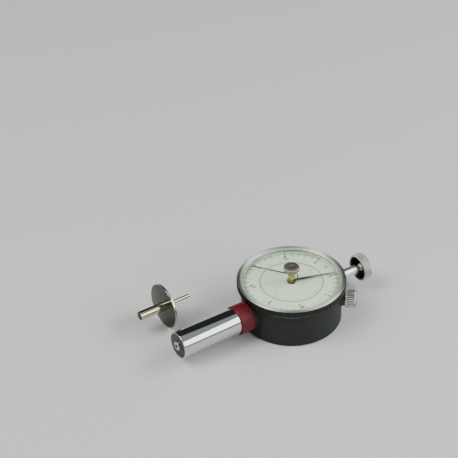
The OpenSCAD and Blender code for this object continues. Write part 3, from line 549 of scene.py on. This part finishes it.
# Cap, knob and lock screw nickel take painted shade in their knurl grooves
def cap_nickel():
    return plated("Cap nickel", finish().nickel, gloss=0.34, smudge=0.1, axis=PLUNGER_AXIS,
                  rings=1400.0, depth=0.3, groove_shade=0.95)


def knob_nickel():
    return plated("Knob nickel", finish().knob, gloss=0.42, smudge=0.12, tarnish=0.3,
                  axis=UPRIGHT, rings=1500.0, depth=0.6, groove_shade=0.5)


def lock_nickel():
    return plated("Lock nickel", finish().nickel, gloss=0.3, smudge=0.1, axis=LOCK_AXIS,
                  rings=1400.0, depth=0.3, groove_shade=0.95)


def worn_nickel():
    return plated("Worn nickel", finish().knob, gloss=0.3, smudge=0.12, tarnish=0.3,
                  axis=LOCK_AXIS, rings=1400.0, depth=0.3)


def tip_nickel():
    return plated("Tip nickel", finish().tip, gloss=0.1, smudge=0.06, axis=TIP_AXIS,
                  rings=1700.0, depth=0.06)


# Painted reflection: near black polished steel for the disc faces and probe end
def disc_polish():
    return plated("Disc polish", finish().disc, gloss=0.06, smudge=0.05, axis=TIP_AXIS,
                  rings=1700.0, depth=0.06)


def machined_steel():
    return plated("Machined steel", finish().steel, gloss=0.26, smudge=0.15, scratch=0.6)


def spring_steel():
    return plated("Spring steel", finish().spring, gloss=0.3, smudge=0.12, scratch=0.5)


def turned_brass():
    return plated("Turned brass", finish().brass, gloss=0.22, smudge=0.16, scratch=0.4,
                  tarnish=0.25, axis=UPRIGHT, depth=0.4)


def dial_enamel():
    return lacquered("Dial enamel", finish().dial, gloss=0.5, cloud=0.05, dust=0.01, peel=0.5)


def hand_lacquer():
    return lacquered("Hand lacquer", finish().ink, gloss=0.4, cloud=0.04, dust=0.05)


def black_ink():
    return lacquered("Black ink", finish().ink, gloss=0.6, cloud=0.12, dust=0.0)


def red_ink():
    return lacquered("Red ink", finish().red_ink, gloss=0.6, cloud=0.12, dust=0.0)


def clear_crystal():
    """Clear moulded window with faint polishing haze. Lamps shine through it on to the dial."""
    name = "Clear crystal"
    if name in bpy.data.materials:
        return bpy.data.materials[name]
    made, tree, shader, place = start_material(name)
    haze = add_node(tree, "TexNoise", {"Vector": place, "Scale": 140.0, "Detail": 4.0})
    rough = add_node(tree, "MapRange", {
        "Value": haze.outputs["Fac"], "From Min": 0.35, "From Max": 0.75,
        "To Min": 0.005, "To Max": 0.03})
    tree.links.new(rough.outputs[0], shader.inputs["Roughness"])
    shader.inputs["Base Color"].default_value = (0.97, 0.99, 0.98, 1)
    shader.inputs["Transmission Weight"].default_value = 1.0
    shader.inputs["IOR"].default_value = 1.08
    shader.inputs["Coat Weight"].default_value = 0.6
    shader.inputs["Coat Roughness"].default_value = 0.02
    clear = add_node(tree, "BsdfTransparent", {"Color": (0.93, 0.95, 0.94, 1)})
    path = add_node(tree, "LightPath")
    mix = add_node(tree, "MixShader", {
        0: path.outputs["Is Shadow Ray"], 1: shader.outputs["BSDF"], 2: clear.outputs["BSDF"]})
    tree.links.new(mix.outputs[0], tree.nodes["Material Output"].inputs["Surface"])
    return made


# Modelling helpers

def add_piece(bm, name, body, slot, materials, *replaced):
    """Makes the bmesh an object that rides on a body and stands for the replaced CAD nodes."""
    mesh = bpy.data.meshes.new(name)
    bm.to_mesh(mesh)
    bm.free()
    mesh.shade_smooth()
    mesh.set_sharp_from_angle(angle=SMOOTH_ANGLE)
    for material in materials:
        mesh.materials.append(material)
    piece = bpy.data.objects.new(name, mesh)
    bpy.context.scene.collection.objects.link(piece)
    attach(piece, body)
    if replaced:
        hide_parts(*replaced)
    return piece


def paint(material, *nodes):
    """Gives CAD nodes, which keep their shape, a finish."""
    for node in nodes:
        mesh = frame["nodes"][node].data
        mesh.materials.clear()
        mesh.materials.append(material)


def turned(profile, steps=SMALL_STEPS, closed=True):
    """Spins a profile round Z. Each point is radius, height and a radius if it is rounded."""
    bm = bmesh.new()
    corners = [bm.verts.new((point[0], 0, point[1])) for point in profile]
    followers = corners[1:] + corners[:1] if closed else corners[1:]
    for start, end in zip(corners, followers):
        bm.edges.new((start, end))
    rounded = {}
    for vert, point in zip(corners, profile):
        if len(point) > 2:
            rounded.setdefault(point[2], []).append(vert)
    for radius, verts in rounded.items():
        bmesh.ops.bevel(bm, geom=verts, offset=radius, offset_type="OFFSET", affect="VERTICES",
                        segments=CORNER_STEPS, profile=0.5, material=-1)
    bmesh.ops.spin(bm, geom=list(bm.verts) + list(bm.edges), cent=(0, 0, 0), axis=(0, 0, 1),
                   angle=tau, steps=steps, use_merge=True)
    bmesh.ops.remove_doubles(bm, verts=bm.verts, dist=FINE)
    bmesh.ops.recalc_face_normals(bm, faces=bm.faces)
    return bm


def put(bm, place):
    """Moves a bmesh from its own axis to its place in the frame."""
    bmesh.ops.transform(bm, matrix=place, verts=bm.verts)
    return bm


def give_finish(bm, wanted, index=1):
    """Gives another of the piece's materials to the faces at a wanted distance and height."""
    for face in bm.faces:
        centre = face.calc_center_median()
        if wanted(centre.xy.length, centre.z):
            face.material_index = index
    return bm


def ridge(turns):
    """Rises to 1 on each whole turn and falls to 0 half way between."""
    return abs(2 * (turns % 1) - 1)


def knurl(bm, root, cut):
    """Cuts back to the root radius wherever cut() falls to 0, and notes what is left."""
    crest = bm.verts.layers.float.new(CREST)
    for vert in bm.verts:
        vert[crest] = 1
        radius = vert.co.xy.length
        if radius > root + FINE:
            vert[crest] = cut(atan2(vert.co.y, vert.co.x) / tau, vert.co.z)
            kept = root + (radius - root) * vert[crest]
            vert.co.x *= kept / radius
            vert.co.y *= kept / radius
    return bm


def straight(teeth):
    """Straight ridges with narrow flat crests."""
    return lambda turn, height: min(1, STRAIGHT_FLANK * ridge(turn * teeth))


def diamond(diamonds, pitch):
    """Pyramids between left-handed and right-handed grooves."""
    return lambda turn, height: min(1, DIAMOND_FLANK * ridge(turn * diamonds + height / pitch),
                                    DIAMOND_FLANK * ridge(turn * diamonds - height / pitch))


class PENETROMETER_OT_case(bpy.types.Operator):
    """Lacquers the case with its back cover, and finishes the screws in the back"""
    bl_idname = "penetrometer.case"
    bl_label = "Case"

    def execute(self, context):
        paint(case_lacquer(), "case_shell", "back_cover")
        paint(machined_steel(), "back_screws")
        paint(blackened(), "lock_bush")
        return {"FINISHED"}


class PENETROMETER_OT_barrel(bpy.types.Operator):
    """Turns the chrome barrel and its red collar, and finishes the bush and rod in its end"""
    bl_idname = "penetrometer.barrel"
    bl_label = "Barrel and collar"

    def execute(self, context):
        edge = shape().edge
        front, back = low("barrel").x, high("barrel").x
        radius = middle("barrel").y - low("barrel").y
        front_edge = 2.5 * edge
        collar_front, boss = low("collar").x, high("collar").x
        collar_radius = high("collar").y
        seat = collar_radius - 1.02 * MM
        spigot, spigot_bore = radius - 1.05 * MM, radius - 2.05 * MM
        bore = radius - 1.35 * MM
        mouth = high("nose_bush").x - 1.6 * MM
        hole = 3.6 * MM
        shoulder = boss + 0.5 * MM
        profile = [
            (hole, front), (radius, front, front_edge), (radius, collar_front, edge / 2),
            (seat, collar_front), (seat, boss), (spigot, boss), (spigot, back),
            (spigot_bore, back), (spigot_bore, shoulder), (bore, shoulder), (bore, mouth),
            (hole, mouth),
        ]
        bm = turned(profile, LARGE_STEPS)
        # Painted reflection: the barrel's end face is coloured near black for the dark surround
        # that it reflects
        give_finish(bm, lambda distance, height: (distance < radius - front_edge
                                                  and height < front + FINE))
        add_piece(put(bm, PLUNGER_AXIS), "barrel_tube", "case", "barrel_chrome",
                  [barrel_chrome(), blackened()], "barrel")

        inner = seat + FIT
        profile = [
            (inner, collar_front), (collar_radius, collar_front, 2 * edge),
            (collar_radius, boss, 2 * edge), (inner, boss),
        ]
        bm = turned(profile, MEDIUM_STEPS)
        add_piece(put(bm, PLUNGER_AXIS), "collar_band", "case", "collar_red",
                  [collar_lacquer()], "collar")
        # Painted reflection: the nose bush in the barrel's end is coloured near black like the end
        # face
        paint(blackened(), "nose_bush")
        paint(machined_steel(), "plunger_rod")
        return {"FINISHED"}


class PENETROMETER_OT_spring(bpy.types.Operator):
    """Winds the weighing spring"""
    bl_idname = "penetrometer.spring"
    bl_label = "Weighing spring"

    def execute(self, context):
        steps_per_turn, sides = 32, 12
        wire = shape().spring_wire / 2
        turns = shape().spring_turns
        steps = turns * steps_per_turn
        first, last = low("main_spring").x, high("main_spring").x
        start, end = first + wire, last - wire
        radius = high("main_spring").z - AXIS_Z - wire
        bm = bmesh.new()
        section = bmesh.ops.create_circle(bm, segments=sides, radius=wire)["verts"]
        bmesh.ops.rotate(bm, verts=section, cent=(0, 0, 0),
                         matrix=Matrix.Rotation(pi / 2, 3, "X"))
        bmesh.ops.translate(bm, verts=section, vec=(radius, 0, start))
        bmesh.ops.spin(bm, geom=list(bm.verts) + list(bm.edges), cent=(0, 0, 0), axis=(0, 0, 1),
                       dvec=(0, 0, (end - start) / steps), angle=tau * turns, steps=steps)
        ends = [edge for edge in bm.edges if edge.is_boundary]
        bmesh.ops.holes_fill(bm, edges=ends, sides=sides)
        bmesh.ops.recalc_face_normals(bm, faces=bm.faces)
        piece = add_piece(put(bm, PLUNGER_AXIS), "weighing_spring", "case", "spring_steel",
                          [spring_steel()], "main_spring")
        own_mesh(piece)
        return {"FINISHED"}


class PENETROMETER_OT_bezel(bpy.types.Operator):
    """Turns and serrates the bezel, and finishes the dial and what holds it in the bezel"""
    bl_idname = "penetrometer.bezel"
    bl_label = "Bezel and dial"

    def execute(self, context):
        edge, tooth, teeth = shape().edge, shape().bezel_tooth, shape().bezel_teeth
        bottom, top, radius = low("bezel").z, BEZEL_TOP, high("bezel").x
        root = radius - tooth
        crown = root - tooth
        pocket = high("dial_plate").x + FIT
        groove_low, groove_high = bottom + 0.075 * MM, bottom + 0.575 * MM
        groove = pocket + 0.45 * MM
        chamfer = 0.4 * MM
        foot, rim = bottom + chamfer, top - 0.3 * MM
        lip = pocket - shape().lip_width
        lip_under = top - 0.7 * MM
        lip_edge, lip_skin = lip_under + 0.25 * MM, lip_under + 0.1 * MM
        step, half_step = pocket + 0.75 * MM, 0.12 * MM
        step_floor, lip_top = top - 0.2 * MM, top - 0.06 * MM
        profile = [
            (pocket, bottom), (root - chamfer, bottom), (root, foot), (radius, foot + tooth / 2),
            (radius, rim), (crown, top, edge),
            (step + half_step, top), (step, step_floor), (step - half_step, lip_top),
            (lip, lip_edge, edge / 3), (lip, lip_under), (pocket, lip_under),
            (pocket, groove_high), (groove, groove_high), (groove, groove_low),
            (pocket, groove_low),
        ]
        bm = knurl(turned(profile, teeth * TOOTH_STEPS), root, straight(teeth))
        # Painted reflection: the serrated side takes the near black serrations finish
        give_finish(bm, lambda distance, height: distance > crown + edge and height > foot)
        give_finish(bm, lambda distance, height: distance < step and height > lip_skin, 2)
        add_piece(bm, "bezel_serrated", "bezel", "bezel_chrome",
                  [bezel_satin(), serrations(), lip_satin()], "bezel")
        paint(dial_enamel(), "dial_plate")
        paint(lip_satin(), "spacer_ring")
        paint(turned_brass(), "crystal_bush", "dial_carrier")
        paint(machined_steel(), "dial_screws")
        return {"FINISHED"}


class PENETROMETER_OT_crystal(bpy.types.Operator):
    """Moulds the clear domed window with its flange under the bezel's lip"""
    bl_idname = "penetrometer.crystal"
    bl_label = "Crystal"

    def execute(self, context):
        seat, crown, flange = low("crystal").z, high("crystal").z, high("crystal").x
        thickness, wall, hole = 0.9 * MM, 0.4 * MM, 2.02 * MM
        flange_top = seat + 0.8 * MM
        shoulder = flange - shape().lip_width - 0.1 * MM
        window = shoulder - wall
        drop = crown - BEZEL_TOP - 0.65 * MM
        ball = (shoulder ** 2 + drop ** 2) / (2 * drop)
        hollow = ball - thickness
        steps = 24
        outside = [shoulder + (hole - shoulder) * step / steps for step in range(steps + 1)]
        inside = [hole + (window - hole) * step / steps for step in range(steps + 1)]
        profile = [
            (window, seat), (flange, seat), (flange, flange_top), (shoulder, flange_top),
            *[(radius, crown - ball + (ball ** 2 - radius ** 2) ** 0.5) for radius in outside],
            *[(radius, crown - ball + (hollow ** 2 - radius ** 2) ** 0.5) for radius in inside],
        ]
        add_piece(turned(profile, MEDIUM_STEPS), "crystal_window", "bezel", "crystal",
                  [clear_crystal()], "crystal")
        return {"FINISHED"}


def scale_angle(kilograms):
    """Place of a load on the dial, clockwise from the stem."""
    dial = bpy.context.scene.penetrometer_dial
    return dial.first_mark + (kilograms - FIRST_LOAD) * dial.per_kilogram


def add_mark(bm, turn, inner, outer, width, height):
    """Adds one printed stroke that points to the middle of the dial."""
    stroke = bmesh.ops.create_cube(bm, size=1)["verts"]
    bmesh.ops.scale(bm, verts=stroke, vec=(outer - inner, width, height))
    bmesh.ops.translate(bm, verts=stroke, vec=((inner + outer) / 2, 0, DIAL_FACE + height / 2))
    bmesh.ops.rotate(bm, verts=stroke, cent=(0, 0, 0), matrix=Matrix.Rotation(-turn, 3, "Z"))


def add_numeral(bm, words, turn, radius, size, weight, height):
    """Adds printed figures, upright when the stem points up."""
    curve = bpy.data.curves.new("figures", "FONT")
    curve.body = words
    curve.size = size
    curve.offset = weight
    curve.align_x = "CENTER"
    curve.align_y = "CENTER"
    curve.extrude = height / 2
    letters = bpy.data.objects.new("figures", curve)
    bpy.context.scene.collection.objects.link(letters)
    bpy.context.view_layer.update()
    outlined = letters.evaluated_get(bpy.context.evaluated_depsgraph_get())
    mesh = bpy.data.meshes.new_from_object(outlined)
    centre = Vector((radius * cos(turn), -radius * sin(turn), DIAL_FACE + height / 2))
    mesh.transform(Matrix.Translation(centre) @ Matrix.Rotation(-pi / 2, 4, "Z"))
    bm.from_mesh(mesh)
    bpy.data.objects.remove(letters)
    bpy.data.curves.remove(curve)
    bpy.data.meshes.remove(mesh)


class PENETROMETER_OT_print(bpy.types.Operator):
    """Prints the black scale in kilograms and the red scale in newtons on the dial"""
    bl_idname = "penetrometer.print"
    bl_label = "Dial print"

    def execute(self, context):
        dial = context.scene.penetrometer_dial
        ink = dial.ink
        unit_ring, unit_size = dial.numeral_ring + 2 * MM, dial.numeral * 0.8
        strokes = (
            (MARKS_PER_KILOGRAM // 2, dial.half, dial.half_width),
            (MARKS_PER_KILOGRAM // 10, dial.tenth, dial.tenth_width),
            (1, dial.fiftieth, dial.fiftieth_width),
        )
        black = bmesh.new()
        first, last = int(FIRST_LOAD * MARKS_PER_KILOGRAM), LAST_LOAD * MARKS_PER_KILOGRAM
        for step in range(first, last + 1):
            mark, width = next(stroke[1:] for stroke in strokes if step % stroke[0] == 0)
            add_mark(black, scale_angle(step / MARKS_PER_KILOGRAM), dial.outer - mark, dial.outer,
                     width, ink)
        for half in range(1, 2 * LAST_LOAD + 1):
            add_numeral(black, f"{half / 2:g}", scale_angle(half / 2), dial.numeral_ring,
                        dial.numeral, dial.weight, ink)
        add_numeral(black, "kg", 0, unit_ring, unit_size, dial.weight / 2, ink)
        add_piece(black, "dial_print_black", "bezel", "dial_enamel", [black_ink()])

        inner, outer = dial.red_ring - dial.red_line, dial.red_ring + dial.red_line
        red = turned([(inner, DIAL_FACE), (outer, DIAL_FACE), (outer, DIAL_FACE + ink),
                      (inner, DIAL_FACE + ink)], LARGE_STEPS)
        for step in range(FIRST_FORCE, LAST_FORCE + 1):
            mark = dial.red_long if step % FORCE_PER_NUMERAL == 0 else dial.red_short
            add_mark(red, scale_angle(step * KILOGRAMS_PER_NEWTON), dial.red_ring - mark,
                     dial.red_ring, dial.red_width, ink)
        for step in range(FIRST_FORCE, LAST_FORCE + 1, FORCE_PER_NUMERAL):
            add_numeral(red, str(step), scale_angle(step * KILOGRAMS_PER_NEWTON),
                        dial.red_numeral_ring, dial.red_numeral, 0, ink)
        add_numeral(red, "N", 0, dial.red_numeral_ring, dial.red_numeral, 0, ink)
        add_piece(red, "dial_print_red", "bezel", "dial_enamel", [red_ink()])
        return {"FINISHED"}


def draw_out(node, name, body, dip):
    """Makes a longer copy of a hand, whose tip dips by that much."""
    bm = bmesh.new()
    bm.from_mesh(frame["nodes"][node].data)
    bmesh.ops.remove_doubles(bm, verts=bm.verts, dist=FINE)
    tip_start = max(vert.co.xy.length for vert in bm.verts) - 0.1 * MM
    tip = [vert for vert in bm.verts if vert.co.xy.length > tip_start]
    outward = sum((vert.co for vert in tip), Vector())
    outward.z = 0
    shift = outward.normalized() * shape().hand_extra - Vector((0, 0, dip))
    bmesh.ops.translate(bm, verts=tip, vec=shift)
    add_piece(bm, name, body, "hand_black", [hand_lacquer()], node)


class PENETROMETER_OT_hands(bpy.types.Operator):
    """Draws both hands out to the window's wall, and finishes their brass hubs"""
    bl_idname = "penetrometer.hands"
    bl_label = "Hands"

    def execute(self, context):
        drag_dip = 0.2 * MM
        draw_out("main_pointer", "driving_hand", "pointer", 0)
        draw_out("drag_pointer", "drag_hand", "reset", drag_dip)
        paint(turned_brass(), "pointer_boss", "drive_pin", "reset_hub")
        paint(machined_steel(), "reset_shaft")
        return {"FINISHED"}


class PENETROMETER_OT_reset_knob(bpy.types.Operator):
    """Turns and knurls the reset knob over the crystal, and finishes its screw"""
    bl_idname = "penetrometer.reset_knob"
    bl_label = "Reset knob"

    def execute(self, context):
        edge, tooth, teeth = shape().edge, shape().tooth, shape().knob_teeth
        bottom, top, radius = low("reset_knob").z, high("reset_knob").z, high("reset_knob").x
        root, foot = radius - tooth, 3.0 * MM
        chamfer = 0.3 * MM
        recess, screw_hole, shaft_hole = 1.4 * MM, 0.52 * MM, 1.02 * MM
        floor, web = top - 0.7 * MM, top - 1.2 * MM
        band_low, band_high = bottom + 1.7 * MM, top - chamfer
        profile = [
            (shaft_hole, bottom), (foot, bottom, 2 * edge), (root, band_low - tooth / 2, edge),
            (radius, band_low), (radius, band_high), (root - chamfer, top, edge),
            (recess, top, edge / 2), (recess, floor), (screw_hole, floor), (screw_hole, web),
            (shaft_hole, web),
        ]
        bm = knurl(turned(profile, teeth * TOOTH_STEPS), root, straight(teeth))
        add_piece(bm, "reset_knob_knurled", "reset", "bright_nickel", [knob_nickel()],
                  "reset_knob")
        paint(machined_steel(), "knob_screw")
        return {"FINISHED"}


class PENETROMETER_OT_cap(bpy.types.Operator):
    """Turns the cap and cuts its diamond knurling, and finishes stem and tail rod"""
    bl_idname = "penetrometer.cap"
    bl_label = "Stem and cap"

    def execute(self, context):
        edge, tooth, diamonds = shape().edge, shape().tooth, shape().cap_diamonds
        front, back, radius = low("lift_cap").x, high("lift_cap").x, high("lift_cap").y
        root = radius - tooth
        pitch = tau * radius / diamonds
        chamfer = 0.3 * MM
        mouth, cup, hub = radius - 0.8 * MM, radius - 1.5 * MM, 2.0 * MM
        mouth_end = front + 0.8 * MM
        bore = high("tail_rod").y + FIT
        recess, hub_front = front + 3.4 * MM, front + 1.8 * MM
        bore_end = back - 0.35 * MM
        band_low, band_high = front + 0.15 * MM, back - chamfer
        rows = 36
        band = [(radius, band_low + (band_high - band_low) * row / rows)
                for row in range(rows + 1)]
        profile = [
            (0, bore_end), (bore, bore_end), (bore, hub_front), (hub, hub_front, edge),
            (hub, recess), (cup, recess), (cup, mouth_end), (mouth, front), (root, front), *band,
            (root, back - edge), (root - chamfer, back, edge), (0, back),
        ]
        bm = turned(profile, diamonds * DIAMOND_STEPS, closed=False)
        knurl(bm, root, diamond(diamonds, pitch))
        # Painted shade: the recess inside the cap is coloured near black
        give_finish(bm, lambda distance, height: (hub + edge < distance < mouth
                                                  and front < height < back - edge))
        add_piece(put(bm, PLUNGER_AXIS), "lift_cap_knurled", "plunger", "bright_nickel",
                  [cap_nickel(), blackened()], "lift_cap")
        paint(stem_nickel(), "stem", "tail_rod")
        return {"FINISHED"}


class PENETROMETER_OT_lock_screw(bpy.types.Operator):
    """Turns and knurls the lock screw in the side of the case"""
    bl_idname = "penetrometer.lock_screw"
    bl_label = "Lock screw"

    def execute(self, context):
        edge, tooth, teeth = shape().edge, shape().tooth, shape().lock_teeth
        solid = frame["nodes"]["lock_screw"].data
        reach = [LOCK_DIRECTION.dot(vert.co) for vert in solid.vertices]
        inner, end = min(reach), max(reach)
        radius = (high("lock_screw").z - low("lock_screw").z) / 2
        root, shank = radius - tooth, 1.2 * MM
        head = end - 5.9 * MM
        groove, band_low, band_high = head + 0.6 * MM, head + 0.9 * MM, end - 1.0 * MM
        disc, neck, face = radius - 0.2 * MM, root - 0.8 * MM, root - 0.5 * MM
        profile = [
            (0, inner), (shank, inner, edge), (shank, head), (disc, head, edge),
            (disc, groove, edge), (neck, groove), (neck, band_low), (root, band_low),
            (radius, band_low + tooth / 2), (radius, band_high), (face, end, 2 * edge), (0, end),
        ]
        bm = turned(profile, teeth * TOOTH_STEPS, closed=False)
        knurl(bm, root, straight(teeth))
        give_finish(bm, lambda distance, height: height > band_high)
        add_piece(put(bm, LOCK_AXIS), "lock_screw_knurled", "lock", "bright_nickel",
                  [lock_nickel(), worn_nickel()], "lock_screw")
        return {"FINISHED"}


class PENETROMETER_OT_probe_tip(bpy.types.Operator):
    """Turns the loose probe tip with its domed end and its juice disc"""
    bl_idname = "penetrometer.probe_tip"
    bl_label = "Probe tip"

    def execute(self, context):
        edge = shape().edge
        end, pin_end = low("probe_tip").x, high("probe_tip").x
        disc, disc_back = low("tip_disc").x, high("tip_disc").x
        disc_radius = (high("tip_disc").z - low("tip_disc").z) / 2
        probe = (high("probe_tip").z - low("probe_tip").z) / 2
        pin, neck = 1.0 * MM, 1.58 * MM
        dome, steps = 6.0 * MM, 8
        radii = [probe * step / steps for step in range(steps)]
        rim = end + dome - (dome ** 2 - probe ** 2) ** 0.5
        profile = [
            *[(radius, end + dome - (dome ** 2 - radius ** 2) ** 0.5) for radius in radii],
            (probe, rim, edge / 2), (probe, disc), (neck, disc), (neck, disc_back),
            (pin, disc_back), (pin, pin_end, 2 * edge), (0, pin_end),
        ]
        bm = turned(profile, closed=False)
        # Painted reflection: the domed end of the probe is coloured near black
        give_finish(bm, lambda distance, height: distance < probe - edge and height < rim)
        add_piece(put(bm, TIP_AXIS), "probe_turned", "tip", "tip_nickel",
                  [tip_nickel(), disc_polish()], "probe_tip")

        hole = neck + FIT
        profile = [
            (hole, disc), (disc_radius, disc, edge), (disc_radius, disc_back, edge),
            (hole, disc_back),
        ]
        bm = turned(profile, MEDIUM_STEPS)
        # Painted reflection: the disc's flat faces are coloured near black
        give_finish(bm, lambda distance, height: distance < disc_radius - edge)
        add_piece(put(bm, TIP_AXIS), "juice_disc", "tip", "tip_nickel",
                  [tip_nickel(), disc_polish()], "tip_disc")
        return {"FINISHED"}


class PENETROMETER_OT_movement(bpy.types.Operator):
    """Finishes the pieces inside the case and the barrel"""
    bl_idname = "penetrometer.movement"
    bl_label = "Movement"

    def execute(self, context):
        paint(turned_brass(), "rear_bush", "base_plate", "pillars", "bridge_plate",
              "lower_bearing", "upper_bearing", "hairspring_collet")
        paint(machined_steel(), "spring_seat", "barrel_nut", "stem_nut", "clamp_dog",
              "plate_screws", "bridge_screws", "hairspring_stud", "spring_collar", "rack_frame",
              "guide_pin", "pinion_arbor")
        paint(spring_steel(), "hairspring", "bezel_ring", "collar_clip")
        return {"FINISHED"}


def area_light(name, place, aim, size, power, tint):
    """Soft rectangular lamp that shines from a place towards a point."""
    lamp = bpy.data.lights.new(name, "AREA")
    lamp.shape = "RECTANGLE"
    lamp.size, lamp.size_y = size
    lamp.energy = power
    lamp.color = tint
    holder = bpy.data.objects.new(name, lamp)
    bpy.context.scene.collection.objects.link(holder)
    facing = (Vector(aim) - Vector(place)).to_track_quat("-Z", "Y").to_matrix().to_4x4()
    holder.matrix_world = Matrix.Translation(place) @ facing


def studio_world():
    """Even grey surround that darkens towards one side, so that chrome has something to show."""
    world = bpy.data.worlds.new("Studio")
    world.use_nodes = True
    tree = world.node_tree
    background = tree.nodes["Background"]
    direction = add_node(tree, "TexCoord").outputs["Generated"]
    facing = add_node(tree, "VectorMath", {0: direction, 1: DARK_SIDE}, operation="DOT_PRODUCT")
    share = add_node(tree, "MapRange", {
        "Value": facing.outputs["Value"], "From Min": 0.78, "From Max": 0.87,
        "To Min": 0.5, "To Max": 0.04}, interpolation_type="SMOOTHSTEP")
    tree.links.new(share.outputs[0], background.inputs["Strength"])
    background.inputs["Color"].default_value = (0.82, 0.86, 0.85, 1)
    bpy.context.scene.world = world


class PENETROMETER_OT_stage(bpy.types.Operator):
    """Lays the pale floor, sets the light and places the camera"""
    bl_idname = "penetrometer.stage"
    bl_label = "Stage"

    def execute(self, context):
        stage = context.scene.penetrometer_stage
        bm = bmesh.new()
        bmesh.ops.create_grid(bm, x_segments=FLOOR_FIELDS, y_segments=FLOOR_FIELDS,
                              size=FLOOR_SIZE)
        bmesh.ops.translate(bm, verts=bm.verts, vec=(0, 0, CAD_BOX[0].z))
        mesh = bpy.data.meshes.new("floor")
        bm.to_mesh(mesh)
        bm.free()
        mesh.materials.append(lacquered("Floor", stage.floor, gloss=0.7, cloud=0.02, dust=0.0,
                                        peel=0.1))
        floor = bpy.data.objects.new("floor", mesh)
        context.scene.collection.objects.link(floor)

        target = Vector((0, 0, BEZEL_TOP))
        for name, place, size, power, tint in LAMPS:
            area_light(name, place, target, size, power, tint)
        studio_world()

        turn, tilt, roll = stage.azimuth, stage.elevation, stage.roll
        back = Vector((sin(turn) * cos(tilt), -cos(turn) * cos(tilt), sin(tilt)))
        level = Vector((cos(turn), sin(turn), 0))
        right = level * cos(roll) + level.cross(-back) * sin(roll)
        up = right.cross(-back)
        pixel = stage.distance / stage.focal_pixels
        across = (stage.bezel_column - PHOTO_WIDTH / 2) * pixel
        down = (stage.bezel_row - PHOTO_WIDTH / 2) * pixel
        view = Matrix((right, up, back)).transposed().to_4x4()
        view.translation = target + back * stage.distance - right * across + up * down
        camera = bpy.data.cameras.new("camera")
        camera.sensor_width = SENSOR_WIDTH
        camera.lens = SENSOR_WIDTH * stage.focal_pixels / PHOTO_WIDTH
        camera.clip_start = 0.01
        holder = bpy.data.objects.new("camera", camera)
        context.scene.collection.objects.link(holder)
        holder.matrix_world = view
        context.scene.camera = holder
        return {"FINISHED"}


OPERATORS = (
    PENETROMETER_OT_stage,
    PENETROMETER_OT_case,
    PENETROMETER_OT_barrel,
    PENETROMETER_OT_spring,
    PENETROMETER_OT_bezel,
    PENETROMETER_OT_crystal,
    PENETROMETER_OT_print,
    PENETROMETER_OT_hands,
    PENETROMETER_OT_reset_knob,
    PENETROMETER_OT_cap,
    PENETROMETER_OT_lock_screw,
    PENETROMETER_OT_probe_tip,
    PENETROMETER_OT_movement,
)

SETTINGS = {
    "penetrometer_shape": PenetrometerShape,
    "penetrometer_dial": PenetrometerDial,
    "penetrometer_finish": PenetrometerFinish,
    "penetrometer_stage": PenetrometerStage,
}


class PENETROMETER_PT_panel(bpy.types.Panel):
    """Settings and steps of the penetrometer"""
    bl_idname = "PENETROMETER_PT_panel"
    bl_label = "Penetrometer"
    bl_space_type = "VIEW_3D"
    bl_region_type = "UI"
    bl_category = "Penetrometer"

    def draw(self, context):
        for name in SETTINGS:
            box = self.layout.box()
            settings = getattr(context.scene, name)
            for key in settings.__annotations__:
                box.prop(settings, key)
        for operator in OPERATORS:
            self.layout.operator(operator.bl_idname)


CLASSES = (*SETTINGS.values(), *OPERATORS, PENETROMETER_PT_panel)


def register():
    for made in CLASSES:
        bpy.utils.register_class(made)
    for name, group in SETTINGS.items():
        setattr(bpy.types.Scene, name, PointerProperty(type=group))


def unregister():
    for name in SETTINGS:
        delattr(bpy.types.Scene, name)
    for made in reversed(CLASSES):
        bpy.utils.unregister_class(made)


def main():
    register()
    for operator in OPERATORS:
        group, name = operator.bl_idname.split(".")
        getattr(getattr(bpy.ops, group), name)()


if __name__ == "__main__":
    main()
